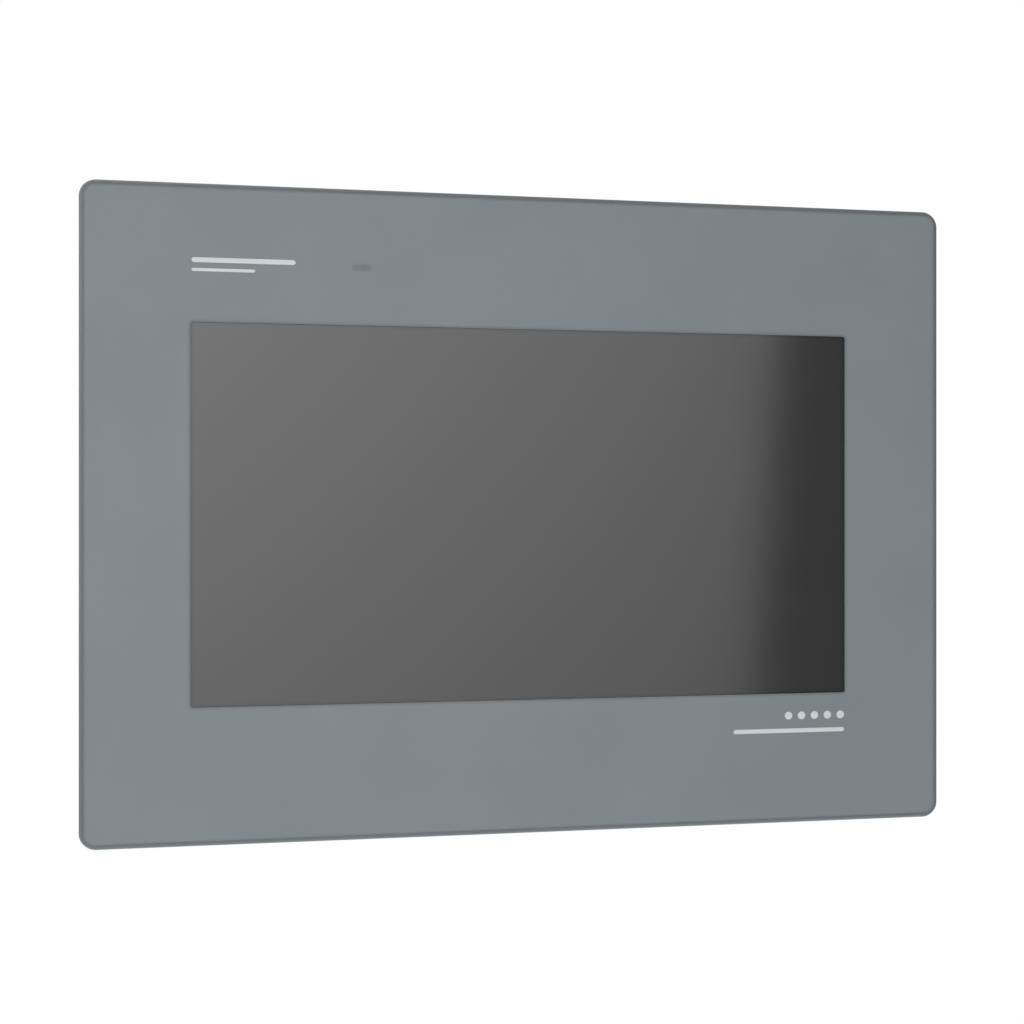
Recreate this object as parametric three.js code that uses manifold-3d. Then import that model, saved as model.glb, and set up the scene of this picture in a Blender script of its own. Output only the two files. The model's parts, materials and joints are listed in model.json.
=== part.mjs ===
// Operator panel: a 7 inch touch display that is let into the cut-out of a control cabinet's door.
// Millimetres, +Z up. The touch face looks along -Y and the case reaches back along +Y.
// The origin is the middle of the cut-out, in the plane of the door's front, where the gasket seats.
// Left and right are as seen from the front, so left is -X.
import * as THREE from 'three';
import { mergeVertices } from 'three/addons/utils/BufferGeometryUtils.js';
import Module from 'manifold-3d';

// ---- driving dimensions ----
const BEZEL = { width: 203.5, height: 149, corner: 3.8, round: 0.9, front: -6.5, back: -1 };
const CUTOUT = { width: 190, height: 135 };
const WINDOW = { width: 155, height: 86.5, corner: 0.6 };
const LED_SLOT = { x: -39.4, z: 56.5, length: 4.9, height: 2.2 };
const CASE = { wall: 2.2, front: -0.9, shelf: 16.5, back: 38, fit: 0.5 };
const BOX = { left: -81, right: 81, bottom: -30, top: 63, corner: 3, round: 2 };
const BOARD = { front: 15.2, thickness: 1.6, left: -78, right: 78, bottom: -27.3, top: 60 };
const GASKET = { centreWidth: 196.4, centreHeight: 141.4, width: 2.8, depth: 2.1, groove: 1.2 };
const CASE_SCREW = { x: 86.5, z: 59, head: 2.8, shank: 1.45, boss: 3.4, pilot: 1.6 };
// These hold the chassis to the bezel.
const SIDE_SCREW = { x: 86, z: 25, boss: 2.6, pilot: 1.25, clearance: 1.5 };
const BOARD_SCREW = { x: 73, low: -10, high: 54, head: 2.8, shank: 1.25 };
const CLAMP = { x: 62, slide: 7, axisAbove: 4.4, padGap: 6.8 };
const CLAMP_SCREW = { shank: 1.95, tip: 1.45, head: 3.6 };
const PLUG = { x: -60, poles: 3, pitch: 5.08, screwZ: -37 };
const PORT_X = { usbDevice: -40, usbHost: -26, serialPort: 5, serialJack: 36, ethernetJack: 58 };
const GAP = 0.05; // between stacked layers

const boardRear = BOARD.front + BOARD.thickness;
const caseWidth = CUTOUT.width - 2 * CASE.fit;
const caseHeight = CUTOUT.height - 2 * CASE.fit;

// ---- finishes ----
const finish = (color, roughness, metalness = 0) =>
  new THREE.MeshStandardMaterial({ color, roughness, metalness });
const SLATE = finish(0x6b7478, 0.55);
const PRINTED_FILM = finish(0x838c8f, 0.5);
const SMOKED = finish(0x7f8387, 0.4);
const DARK_GLASS = finish(0x3a3a3a, 0.2);
const CASE_PLASTIC = finish(0x35383a, 0.7);
const BLACK_PLASTIC = finish(0x1b1c1d, 0.6);
const FOAM = finish(0x222324, 0.95);
const RUBBER = finish(0x26282a, 0.85);
const STEEL = finish(0xb9bcbd, 0.35, 1);
const NICKEL = finish(0xc9c6bd, 0.3, 1);
const ZINC = finish(0xa4a7a8, 0.5, 1);
const BRASS = finish(0xc8a55a, 0.35, 1);
const SOLDER_MASK = finish(0x1e5a38, 0.5);
const CHIP = finish(0x202122, 0.6);
const FERRITE = finish(0x4a4b4d, 0.8);
const WHITE_PLASTIC = finish(0xe4e5e2, 0.5);
const PLUG_GREEN = finish(0x2f7f4f, 0.5);
const POLYIMIDE = finish(0xb5762b, 0.4);
const LABEL_FOIL = finish(0xd4d6d6, 0.6);

// ---- solids ----
const wasm = await Module();
wasm.setup();

// A closed geometry as a solid that can be cut and joined.
function solidOf(geometry) {
  const loose = geometry.index ? geometry.toNonIndexed() : geometry;
  const bare = new THREE.BufferGeometry().setAttribute('position', loose.getAttribute('position'));
  const merged = mergeVertices(bare, 1e-4);
  return new wasm.Manifold(new wasm.Mesh({
    numProp: 3,
    vertProperties: merged.attributes.position.array,
    triVerts: new Uint32Array(merged.index.array),
  }));
}

// A solid as a geometry again.
function geometryOf(solid) {
  const mesh = solid.getMesh();
  const position = new Float32Array(mesh.numVert * 3);
  for (let i = 0; i < mesh.numVert; i++) {
    position.set(mesh.vertProperties.subarray(i * mesh.numProp, i * mesh.numProp + 3), i * 3);
  }
  return new THREE.BufferGeometry()
    .setAttribute('position', new THREE.BufferAttribute(position, 3))
    .setIndex(new THREE.BufferAttribute(new Uint32Array(mesh.triVerts), 1));
}

const join = (...geometries) => geometryOf(geometries.map(solidOf).reduce((a, b) => a.add(b)));
const cut = (base, ...tools) => geometryOf(tools.map(solidOf).reduce((a, b) => a.subtract(b), solidOf(base)));

// A block between pairs of planes.
function block([x0, x1], [y0, y1], [z0, z1]) {
  return new THREE.BoxGeometry(x1 - x0, y1 - y0, z1 - z0)
    .translate((x0 + x1) / 2, (y0 + y1) / 2, (z0 + z1) / 2);
}

// A block that is centred at x.
const centredBlock = (x, width, ys, zs) => block([x - width / 2, x + width / 2], ys, zs);

// A rectangle with round corners, in any plane, centred at (cx, cy).
function roundedRect(width, height, radius, cx = 0, cy = 0) {
  const [right, top] = [width / 2 - radius, height / 2 - radius];
  const quarter = Math.PI / 2;
  const outline = new THREE.Shape();
  outline.absarc(cx + right, cy - top, radius, -quarter, 0);
  outline.absarc(cx + right, cy + top, radius, 0, quarter);
  outline.absarc(cx - right, cy + top, radius, quarter, 2 * quarter);
  outline.absarc(cx - right, cy - top, radius, 2 * quarter, 3 * quarter);
  outline.closePath();
  return outline;
}

// The same outline with openings in it.
function pierced(outline, ...openings) {
  const shape = outline.clone();
  shape.holes.push(...openings);
  return shape;
}

// A polygon through the given points.
const polygon = (...points) => new THREE.Shape(points.map(([u, v]) => new THREE.Vector2(u, v)));

const CURVE_STEPS = 3; // two times this in each quarter circle
const FINE_STEPS = 6; // the same, for the outlines of the front

// An outline drawn in X and Z, from y0 to y1. With a bevel, both ends are rounded off inside the outline.
function plateY(shape, y0, y1, { bevel = 0, bevelSteps = 3, steps = CURVE_STEPS } = {}) {
  return new THREE.ExtrudeGeometry(shape, {
    depth: y1 - y0 - 2 * bevel,
    curveSegments: steps,
    bevelEnabled: bevel > 0,
    bevelThickness: bevel,
    bevelSize: bevel,
    bevelOffset: -bevel,
    bevelSegments: bevelSteps,
  }).rotateX(Math.PI / 2).translate(0, y1 - bevel, 0);
}

// An outline drawn in Y and Z, from x0 to x1.
function barX(shape, x0, x1) {
  const axesTurned = new THREE.Matrix4().set(0, 0, 1, 0, 1, 0, 0, 0, 0, 1, 0, 0, 0, 0, 0, 1);
  return new THREE.ExtrudeGeometry(shape, { depth: x1 - x0, curveSegments: CURVE_STEPS, bevelEnabled: false })
    .applyMatrix4(axesTurned).translate(x0, 0, 0);
}

// An outline drawn in X and Y, from z0 to z1.
function postZ(shape, z0, z1) {
  return new THREE.ExtrudeGeometry(shape, { depth: z1 - z0, curveSegments: CURVE_STEPS, bevelEnabled: false })
    .translate(0, 0, z0);
}

// A round rod along Y, and one along Z.
const rodY = (radius, [y0, y1], x, z, sides = 16) =>
  new THREE.CylinderGeometry(radius, radius, y1 - y0, sides).translate(x, (y0 + y1) / 2, z);
const rodZ = (radius, [z0, z1], x, y, sides = 16) =>
  new THREE.CylinderGeometry(radius, radius, z1 - z0, sides)
    .rotateX(Math.PI / 2)
    .translate(x, y, (z0 + z1) / 2);

// A screw along Y: a pan head from headFront to headRear, and a plain shank that reaches forward to tip.
function screwY({ x, z, head, shank, tip, headFront, headRear }) {
  const slot = centredBlock(x, 0.7, [headRear - 0.8, headRear + 1], [z - head * 0.65, z + head * 0.65]);
  const crossSlot = centredBlock(x, head * 1.3, [headRear - 0.8, headRear + 1], [z - 0.35, z + 0.35]);
  const screw = join(rodY(head, [headFront, headRear], x, z), rodY(shank, [tip, headFront + 0.4], x, z, 12));
  return cut(screw, slot, crossSlot);
}

// ---- the assembly ----
const panel = new THREE.Group();

function add(name, geometry, material) {
  const mesh = new THREE.Mesh(geometry, material);
  mesh.name = name;
  panel.add(mesh);
}

// Each corner's name, with the sign of its X and of its Z.
const fourCorners = [
  ['top_left', -1, 1], ['top_right', 1, 1], ['bottom_left', -1, -1], ['bottom_right', 1, -1],
];

// One rod along Y at each corner.
const cornerRods = ({ x, z }, radius, ys, sides = 16) =>
  fourCorners.map(([, i, k]) => rodY(radius, ys, i * x, k * z, sides));

// The lamp slot's outline, with nearly half-round ends.
function ledOutline(grow = 0) {
  const [length, height] = [LED_SLOT.length + grow, LED_SLOT.height + grow];
  return roundedRect(length, height, height / 2 - 0.01, LED_SLOT.x, LED_SLOT.z);
}

const FILM = { margin: 1.25, pocketMargin: 1.1, recess: 0.3, thickness: 0.25 };
const TOUCH = { width: 165.4, height: 101, thickness: 1.6, foam: 0.8, fit: 0.3 };
const COLLAR = { width: 184, height: 129, wall: 1.7, rear: 3 };
const touchFront = BEZEL.front + FILM.recess;
const touchRear = touchFront + TOUCH.thickness;
const LCD = {
  front: touchFront + 2.5, width: 165, height: 100, wall: 0.5, depth: 5.2, cellRear: 1.8, lightRear: 5.6,
};
const chassisFront = LCD.front + LCD.lightRear + 0.2;

// The frame that shows: a flange with a rounded rim, the touch sensor's opening, a gasket groove and bosses.
function bezelFrame() {
  const { width, height, corner, round, front, back } = BEZEL;
  const spare = 4; // the rear bevel is made past the flange's back and cut off
  const rimOutline = roundedRect(width, height, corner);
  const blank = plateY(rimOutline, front, back + spare, { bevel: round, bevelSteps: 5, steps: FINE_STEPS });
  const rearCut = block([-width, width], [back, back + 2 * spare], [-height, height]);
  const margin = 2 * FILM.pocketMargin;
  const pocketOutline = roundedRect(width - margin, height - margin, corner - FILM.pocketMargin);
  const filmPocket = plateY(pocketOutline, front - 1, touchFront, { steps: FINE_STEPS });
  const openingOutline = roundedRect(TOUCH.width + 2 * TOUCH.fit, TOUCH.height + 2 * TOUCH.fit, 1);
  const opening = plateY(openingOutline, front - 1, back + 1);
  const grooveWidth = GASKET.width + 0.4;
  const groove = plateY(pierced(
    roundedRect(GASKET.centreWidth + grooveWidth, GASKET.centreHeight + grooveWidth, 4),
    roundedRect(GASKET.centreWidth - grooveWidth, GASKET.centreHeight - grooveWidth, 1.2),
  ), back - GASKET.groove, back + 1);
  const ledHole = plateY(ledOutline(0.1), front - 1, back + 1);
  const tailNotch = block([33, 47], [front + 0.6, back + 1], [-54.4, -50]);
  const collar = plateY(pierced(
    roundedRect(COLLAR.width, COLLAR.height, 2),
    roundedRect(COLLAR.width - 2 * COLLAR.wall, COLLAR.height - 2 * COLLAR.wall, 1),
  ), back - 0.2, COLLAR.rear);
  const cornerBosses = cornerRods(CASE_SCREW, CASE_SCREW.boss, [back - 0.2, 8]);
  const sideBosses = cornerRods(SIDE_SCREW, SIDE_SCREW.boss, [back - 0.2, chassisFront], 12);
  const cornerPilots = cornerRods(CASE_SCREW, CASE_SCREW.pilot, [0.4, 9], 12);
  const sidePilots = cornerRods(SIDE_SCREW, SIDE_SCREW.pilot, [-1.6, 3], 8);
  const flange = cut(blank, rearCut, filmPocket, opening, groove, ledHole, tailNotch);
  return cut(join(flange, collar, ...cornerBosses, ...sideBosses), ...cornerPilots, ...sidePilots);
}

// The printed polyester film on the bezel, with the display's window and the lamp's slot.
function frontOverlay() {
  const { margin, thickness } = FILM;
  const outline = roundedRect(BEZEL.width - 2 * margin, BEZEL.height - 2 * margin, BEZEL.corner - margin);
  const window = roundedRect(WINDOW.width, WINDOW.height, WINDOW.corner);
  const holed = pierced(outline, window, ledOutline());
  return plateY(holed, BEZEL.front, BEZEL.front + thickness, { steps: FINE_STEPS });
}

// The resistive touch sensor: a film and glass plate behind the overlay's window.
const touchSensor = () => plateY(roundedRect(TOUCH.width, TOUCH.height, 0.8), touchFront, touchRear);

// Foam between the touch sensor and the display.
const touchGasket = () => {
  const ring = pierced(roundedRect(164, 99, 0.8), roundedRect(157, 89, 0.8));
  return plateY(ring, touchRear + GAP, touchRear + GAP + TOUCH.foam);
};

// The display module: a folded steel front frame, the glass cell and the backlight behind it.
function lcdFrame() {
  const { front, width, height, wall, depth } = LCD;
  const past = front + depth + 1;
  const shell = plateY(roundedRect(width, height, 0.8), front, front + depth);
  const pocket = plateY(lcdOutline(0), front + wall, past);
  const window = plateY(roundedRect(WINDOW.width + 0.8, WINDOW.height + 0.9, 0.4), front - 1, front + 1);
  const tailGap = block([-13, 13], [front + 3.6, past], [-height / 2 - 1, -height / 2 + 1]);
  return cut(shell, pocket, window, tailGap);
}
// The outline of what lies in the frame, with a clearance all round.
const lcdOutline = (clearance) => roundedRect(
  LCD.width - 2 * (LCD.wall + clearance), LCD.height - 2 * (LCD.wall + clearance), 0.4);
const lcdPanel = () => plateY(lcdOutline(0.4), LCD.front + LCD.wall + GAP, LCD.front + LCD.cellRear);
const backlightUnit = () =>
  plateY(lcdOutline(0.2), LCD.front + LCD.cellRear + GAP, LCD.front + LCD.lightRear);

// A flat flexible cable: its line in Y and Z, given its thickness sideways, and its width in X.
function ribbon(line, thickness, x, width) {
  const offset = line.map((p, i) => {
    const before = line[Math.max(i - 1, 0)];
    const after = line[Math.min(i + 1, line.length - 1)];
    const [dy, dz] = [after[0] - before[0], after[1] - before[1]];
    const length = Math.hypot(dy, dz);
    return [p[0] - dz / length * thickness, p[1] + dy / length * thickness];
  });
  return barX(polygon(...line, ...offset.reverse()), x - width / 2, x + width / 2);
}
const lcdTail = () => ribbon([
  [1.1, -49.7], [1.1, -51], [1.7, -52.1], [2.9, -52.6], [4.1, -52.1], [4.7, -51],
  [4.7, -34], [5.4, -32.4], [8, -31.2], [12, -30], [13.8, -28], [14.2, -25],
  [14.2, -19], [14.9, -18.9],
], 0.25, 0, 24);
const touchTail = () => ribbon([
  [-5.3, -50.6], [-5.3, -52.4], [-4.7, -53.5], [-3.5, -53.9], [4, -53.9], [5.6, -53.2],
  [6.2, -51.6], [6.2, -36], [7, -34.4], [9, -33.2], [12.4, -31.8], [13.8, -29.4],
  [14.2, -26], [14.2, -19], [14.9, -18.9],
], 0.25, 40, 11);

// The places of the four board screws, as [x, z].
const boardHoles = [BOARD_SCREW.high, BOARD_SCREW.low]
  .flatMap((z) => [[-BOARD_SCREW.x, z], [BOARD_SCREW.x, z]]);

// The steel chassis behind the display, with the standoffs that carry the main board.
function chassisPlate() {
  const front = chassisFront;
  const rear = front + 1;
  const sheet = plateY(roundedRect(178, 107, 2), front, rear);
  const flanges = [-53, 53].map((z) => block([-60, 60], [rear - 0.2, rear + 5], [z - 0.5, z + 0.5]));
  const tailNotch = block([-15, 48], [front - 1, rear + 6], [-56, -50.6]);
  const standoffs = boardHoles.map(([x, z]) => rodY(2.75, [rear - 0.2, BOARD.front - GAP], x, z, 6));
  const threads = boardHoles.map(([x, z]) => rodY(1.4, [rear + 2, BOARD.front + 1], x, z, 10));
  const sideHoles = cornerRods(SIDE_SCREW, SIDE_SCREW.clearance, [front - 1, rear + 1], 12);
  return cut(join(sheet, ...flanges, ...standoffs), tailNotch, ...threads, ...sideHoles);
}

// The main board, with the two flat-cable sockets and the status lamp on its front.
function mainBoard() {
  const [width, height] = [BOARD.right - BOARD.left, BOARD.top - BOARD.bottom];
  const outline = roundedRect(width, height, 1.5, 0, (BOARD.top + BOARD.bottom) / 2);
  const board = plateY(outline, BOARD.front, boardRear);
  const holes = boardHoles.map(([x, z]) => rodY(1.6, [BOARD.front - 1, boardRear + 1], x, z, 12));
  const onFront = (height) => [BOARD.front - height, BOARD.front + 0.1];
  const lcdSocket = centredBlock(0, 28, onFront(1.8), [-18.6, -13.5]);
  const touchSocket = centredBlock(40, 14, onFront(1.8), [-18.6, -14]);
  const lamp = centredBlock(LED_SLOT.x, 1.6, onFront(0.7), [LED_SLOT.z - 0.4, LED_SLOT.z + 0.4]);
  return cut(join(board, lcdSocket, touchSocket, lamp), ...holes);
}

// The clear pipe that carries the lamp's light to the front, with a collar behind the bezel.
function statusLightPipe() {
  const lens = plateY(ledOutline(-0.3), BEZEL.front, BOARD.front - 1);
  const collar = plateY(ledOutline(1.6), BEZEL.back + GAP, BEZEL.back + 1.2);
  return join(lens, collar);
}

// The ring that seals the flange to the door. It stands 1 mm out of its groove until it is pressed.
function panelGasket() {
  const { centreWidth, centreHeight, width, depth } = GASKET;
  return plateY(pierced(
    roundedRect(centreWidth + width, centreHeight + width, 3.8),
    roundedRect(centreWidth - width, centreHeight - width, 1.4),
  ), -depth, 0);
}

// The rear case: a tray that fills the cut-out, and a deeper box for the board, with every opening.
function rearCase() {
  const boxWidth = BOX.right - BOX.left;
  const boxHeight = BOX.top - BOX.bottom;
  const boxMiddle = (BOX.top + BOX.bottom) / 2;
  const { wall, front, shelf, back } = CASE;
  const boxOutline = roundedRect(boxWidth, boxHeight, BOX.corner, 0, boxMiddle);
  const boxInside = roundedRect(boxWidth - 2 * wall, boxHeight - 2 * wall, 1.2, 0, boxMiddle);
  const tray = plateY(roundedRect(caseWidth, caseHeight, 3), front, shelf);
  const box = plateY(boxOutline, shelf - 6, back, { bevel: BOX.round });
  const trayInside = roundedRect(caseWidth - 2 * wall, caseHeight - 2 * wall, 1);
  const trayRoom = plateY(trayInside, front - 1, shelf - wall);
  const boxRoom = plateY(boxInside, shelf - wall - 1, back - wall);
  const bosses = cornerRods(CASE_SCREW, CASE_SCREW.boss + 0.3, [8.3, shelf - 1]);
  const clearance = cornerRods(CASE_SCREW, CASE_SCREW.shank + 0.3, [7, shelf + 1], 12);
  const headSeats = cornerRods(CASE_SCREW, CASE_SCREW.head + 0.3, [14.4, shelf + 1]);
  const hollow = cut(join(tray, box), trayRoom, boxRoom);
  const labelRecess = plateY(labelOutline(0.6), back - LABEL.depth, back + 1);
  const openings = [...clearance, ...headSeats, ...clampSlots(), ...portHoles(), ...vents(), labelRecess];
  return cut(join(hollow, ...bosses), ...openings);
}

// The blank label's outline, with a margin for the recess that it lies in.
const LABEL = { width: 64, height: 26, z: 17, depth: 0.3 };
const labelOutline = (grow = 0) =>
  roundedRect(LABEL.width + grow, LABEL.height + grow, 1 + grow / 2, 0, LABEL.z);

// The clamps' keyhole slots: a pocket that lets the hook's head in, and a narrow run that holds its neck.
function clampSlots() {
  const outer = caseHeight / 2;
  return fourCorners.flatMap(([, i, k]) => {
    const depth = [k * outer - 3.2, k * outer + 3.2];
    const pocketX = i * (CLAMP.x - CLAMP.slide);
    const pocket = centredBlock(pocketX, 6.4, [7.9, 14.25], depth);
    const run = centredBlock(i * (CLAMP.x - CLAMP.slide / 2), CLAMP.slide + 6.4, [9.4, 12.8], depth);
    return [pocket, run];
  });
}

// The openings for the sockets in the box's underside.
function portHoles() {
  const through = [BOX.bottom - 1, BOX.bottom + CASE.wall + 1];
  const hole = (x, width, y0, y1) => centredBlock(x, width, [y0, y1], through);
  return [
    hole(PORT_X.ethernetJack, 16.6, 16.7, 30.7), hole(PORT_X.serialJack, 16.6, 16.7, 30.7),
    hole(PORT_X.usbHost, 13.7, 16.9, 23.3), hole(PORT_X.usbDevice, 8.3, 16.8, 21.3),
    hole(PORT_X.serialPort, 31.4, 18.1, 31.1), hole(PLUG.x, 20.6, 16.7, 30.3),
  ];
}

// Cooling slots: two rows in the back and one row in the top.
const VENT = { count: 16, pitch: 8.2, width: 2.6, length: 14, highRow: 54, lowRow: -6, topRow: [20, 32] };
function vents() {
  const rows = Array.from({ length: VENT.count }, (_, n) => (n - (VENT.count - 1) / 2) * VENT.pitch);
  const throughBack = [CASE.back - CASE.wall - 1, CASE.back + 1];
  const throughTop = [BOX.top - CASE.wall - 1, BOX.top + 1];
  const backSlot = (x, top) => centredBlock(x, VENT.width, throughBack, [top - VENT.length, top]);
  return rows.flatMap((x) => [
    backSlot(x, VENT.highRow), backSlot(x, VENT.lowRow), centredBlock(x, VENT.width, VENT.topRow, throughTop),
  ]);
}

// ---- the clamps ----
const padFront = CLAMP.padGap;
const nutFront = padFront + 2.9;
const clampAxisZ = CUTOUT.height / 2 + CLAMP.axisAbove - CASE.fit;

// The clamp's casting: a nut block outside the case, with a neck and a wider head that hook behind the wall.
function clampBody(i, k) {
  const outer = caseHeight / 2;
  const x = i * CLAMP.x;
  const zs = (a, b) => [Math.min(k * a, k * b), Math.max(k * a, k * b)];
  const side = polygon(
    [nutFront, outer + 0.25], [nutFront + 8.5, outer + 0.25], [nutFront + 8.5, outer + 7],
    [nutFront + 6.5, outer + 9], [nutFront + 1.5, outer + 9], [nutFront, outer + 7.5],
  );
  const nut = barX(side, x - 5, x + 5);
  const nutTurned = k < 0 ? nut.scale(1, 1, -1) : nut;
  if (k < 0) flipFaces(nutTurned);
  const neck = centredBlock(x, 5.2, [9.6, 12.6], zs(outer - 2.6, outer + 0.5));
  const head = centredBlock(x, 5.2, [8.2, 14], zs(outer - 4.2, outer - 2.5));
  const hole = rodY(CLAMP_SCREW.shank + 0.2, [nutFront - 1, nutFront + 10], x, k * clampAxisZ);
  return cut(join(nutTurned, neck, head), hole);
}

// A mirrored mesh has its faces turned round, so each triangle's corners are swapped back.
function flipFaces(geometry) {
  const p = geometry.attributes.position;
  const [a, b] = [new THREE.Vector3(), new THREE.Vector3()];
  for (let t = 0; t < p.count; t += 3) {
    a.fromBufferAttribute(p, t + 1);
    b.fromBufferAttribute(p, t + 2);
    p.setXYZ(t + 1, b.x, b.y, b.z);
    p.setXYZ(t + 2, a.x, a.y, a.z);
  }
}

// The pressure pad on the screw's tip, which meets the back of the door.
function clampPad(i, k) {
  const [x, z] = [i * CLAMP.x, k * clampAxisZ];
  const bore = rodY(CLAMP_SCREW.tip + 0.25, [padFront + 0.8, padFront + 3], x, z);
  return cut(rodY(2.9, [padFront, padFront + 2.4], x, z), bore);
}

// The clamping screw: a turned-down tip in the pad, an M4 shank and a slotted pan head at the rear.
function clampScrew(i, k) {
  const [x, z] = [i * CLAMP.x, k * clampAxisZ];
  const tip = rodY(CLAMP_SCREW.tip, [padFront + 1, padFront + 2.8], x, z, 12);
  const { head, shank } = CLAMP_SCREW;
  const threaded = screwY({ x, z, head, shank, tip: padFront + 2.6, headFront: 27, headRear: 29.6 });
  return join(tip, threaded);
}

// ---- sockets and the power plug ----

// A modular jack with its mouth downwards: the socket proper and the notch for the latch.
function modularJack(x) {
  const body = centredBlock(x, 16, [boardRear + 0.1, boardRear + 13.5], [BOX.bottom - 0.2, -10]);
  const mouth = centredBlock(x, 11.9, [19.6, 26.8], [BOX.bottom - 1, -16]);
  const latchNotch = centredBlock(x, 6.2, [26, 28.4], [BOX.bottom - 1, -16]);
  return cut(body, mouth, latchNotch);
}

// A flat host socket: a folded shell with a contact tongue on the board's side.
function usbHostPort() {
  const x = PORT_X.usbHost;
  const shell = centredBlock(x, 13.1, [17.2, 22.9], [BOX.bottom - 0.2, -16]);
  const mouth = centredBlock(x, 12.5, [17.5, 22.6], [BOX.bottom - 1, -17.4]);
  const tongue = centredBlock(x, 11.1, [18.2, 20], [-28.4, -17]);
  return join(cut(shell, mouth), tongue);
}

// The small device socket, narrower at its board side.
function usbDevicePort() {
  const x = PORT_X.usbDevice;
  const outline = (grow) => polygon(
    [x - 3 - grow, 17.3 - grow], [x + 3 + grow, 17.3 - grow], [x + 3 + grow, 18.3],
    [x + 3.6 + grow, 19.3], [x + 3.6 + grow, 20.6 + grow], [x - 3.6 - grow, 20.6 + grow],
    [x - 3.6 - grow, 19.3], [x - 3 - grow, 18.3],
  );
  const shell = postZ(outline(0.25), BOX.bottom - 0.2, -21);
  const mouth = postZ(outline(0), BOX.bottom - 1, -22);
  const tongue = centredBlock(x, 5, [18.8, 19.5], [-28.6, -21.6]);
  return join(cut(shell, mouth), tongue);
}

// The nine-pole port. Its middle stands 7.8 mm off the board, and its flange fills the case's opening.
const SERIAL = {
  y: 24.6, halfScrews: 12.5, shellWidth: 17.9, shellDepth: 9.2, taper: 1.1, pinPitch: 2.77, pinRow: 1.42,
};
const screwPlaces = [-1, 1].map((i) => PORT_X.serialPort + i * SERIAL.halfScrews);
function serialOutline(grow) {
  const [w, d] = [SERIAL.shellWidth / 2 + grow, SERIAL.shellDepth / 2 + grow];
  const x = PORT_X.serialPort;
  return polygon(
    [x - w + SERIAL.taper, SERIAL.y - d], [x + w - SERIAL.taper, SERIAL.y - d],
    [x + w - 0.4, SERIAL.y - d + 1], [x + w, SERIAL.y + d - 1.2], [x + w - 1, SERIAL.y + d],
    [x - w + 1, SERIAL.y + d], [x - w, SERIAL.y + d - 1.2], [x - w + 0.4, SERIAL.y - d + 1],
  );
}
function serialPortShell() {
  const x = PORT_X.serialPort;
  const flange = centredBlock(x, 30.8, [18.4, 30.8], [BOX.bottom, BOX.bottom + 0.8]);
  const skirt = postZ(serialOutline(0), BOX.bottom - 5.8, BOX.bottom + 0.2);
  const mouth = postZ(serialOutline(-0.5), BOX.bottom - 7, BOX.bottom + 2);
  const screwHoles = screwPlaces.map((px) => rodZ(1.7, [BOX.bottom - 1, BOX.bottom + 2], px, SERIAL.y, 12));
  return cut(join(flange, skirt), mouth, ...screwHoles);
}
function serialPortBody() {
  const x = PORT_X.serialPort;
  const base = centredBlock(x, 30.8, [boardRear + 0.1, 30.6], [BOX.bottom + CASE.wall + 0.3, -18]);
  const throat = centredBlock(x, 30.8, [18.6, 30.6], [BOX.bottom + 0.8 + GAP, BOX.bottom + CASE.wall + 0.4]);
  const insert = postZ(serialOutline(-0.8), BOX.bottom - 1, BOX.bottom + 1.2);
  const pin = (px, py) => rodZ(0.5, [BOX.bottom - 5.2, BOX.bottom - 0.5], px, py, 6);
  const nearRow = [-2, -1, 0, 1, 2].map((n) => pin(x + n * SERIAL.pinPitch, SERIAL.y + SERIAL.pinRow));
  const farRow = [-1.5, -0.5, 0.5, 1.5].map((n) => pin(x + n * SERIAL.pinPitch, SERIAL.y - SERIAL.pinRow));
  const screwHoles = screwPlaces.map((px) => rodZ(1.7, [BOX.bottom, -22], px, SERIAL.y, 12));
  return cut(join(base, throat, insert, ...nearRow, ...farRow), ...screwHoles);
}
function jackScrew(x) {
  const hexagon = rodZ(2.7, [BOX.bottom - 5.4, BOX.bottom - GAP], x, SERIAL.y, 6);
  const stud = rodZ(1.4, [BOX.bottom - 0.5, -23], x, SERIAL.y, 12);
  const thread = rodZ(1.2, [BOX.bottom - 6, BOX.bottom - 1.4], x, SERIAL.y, 12);
  return cut(join(hexagon, stud), thread);
}

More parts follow.
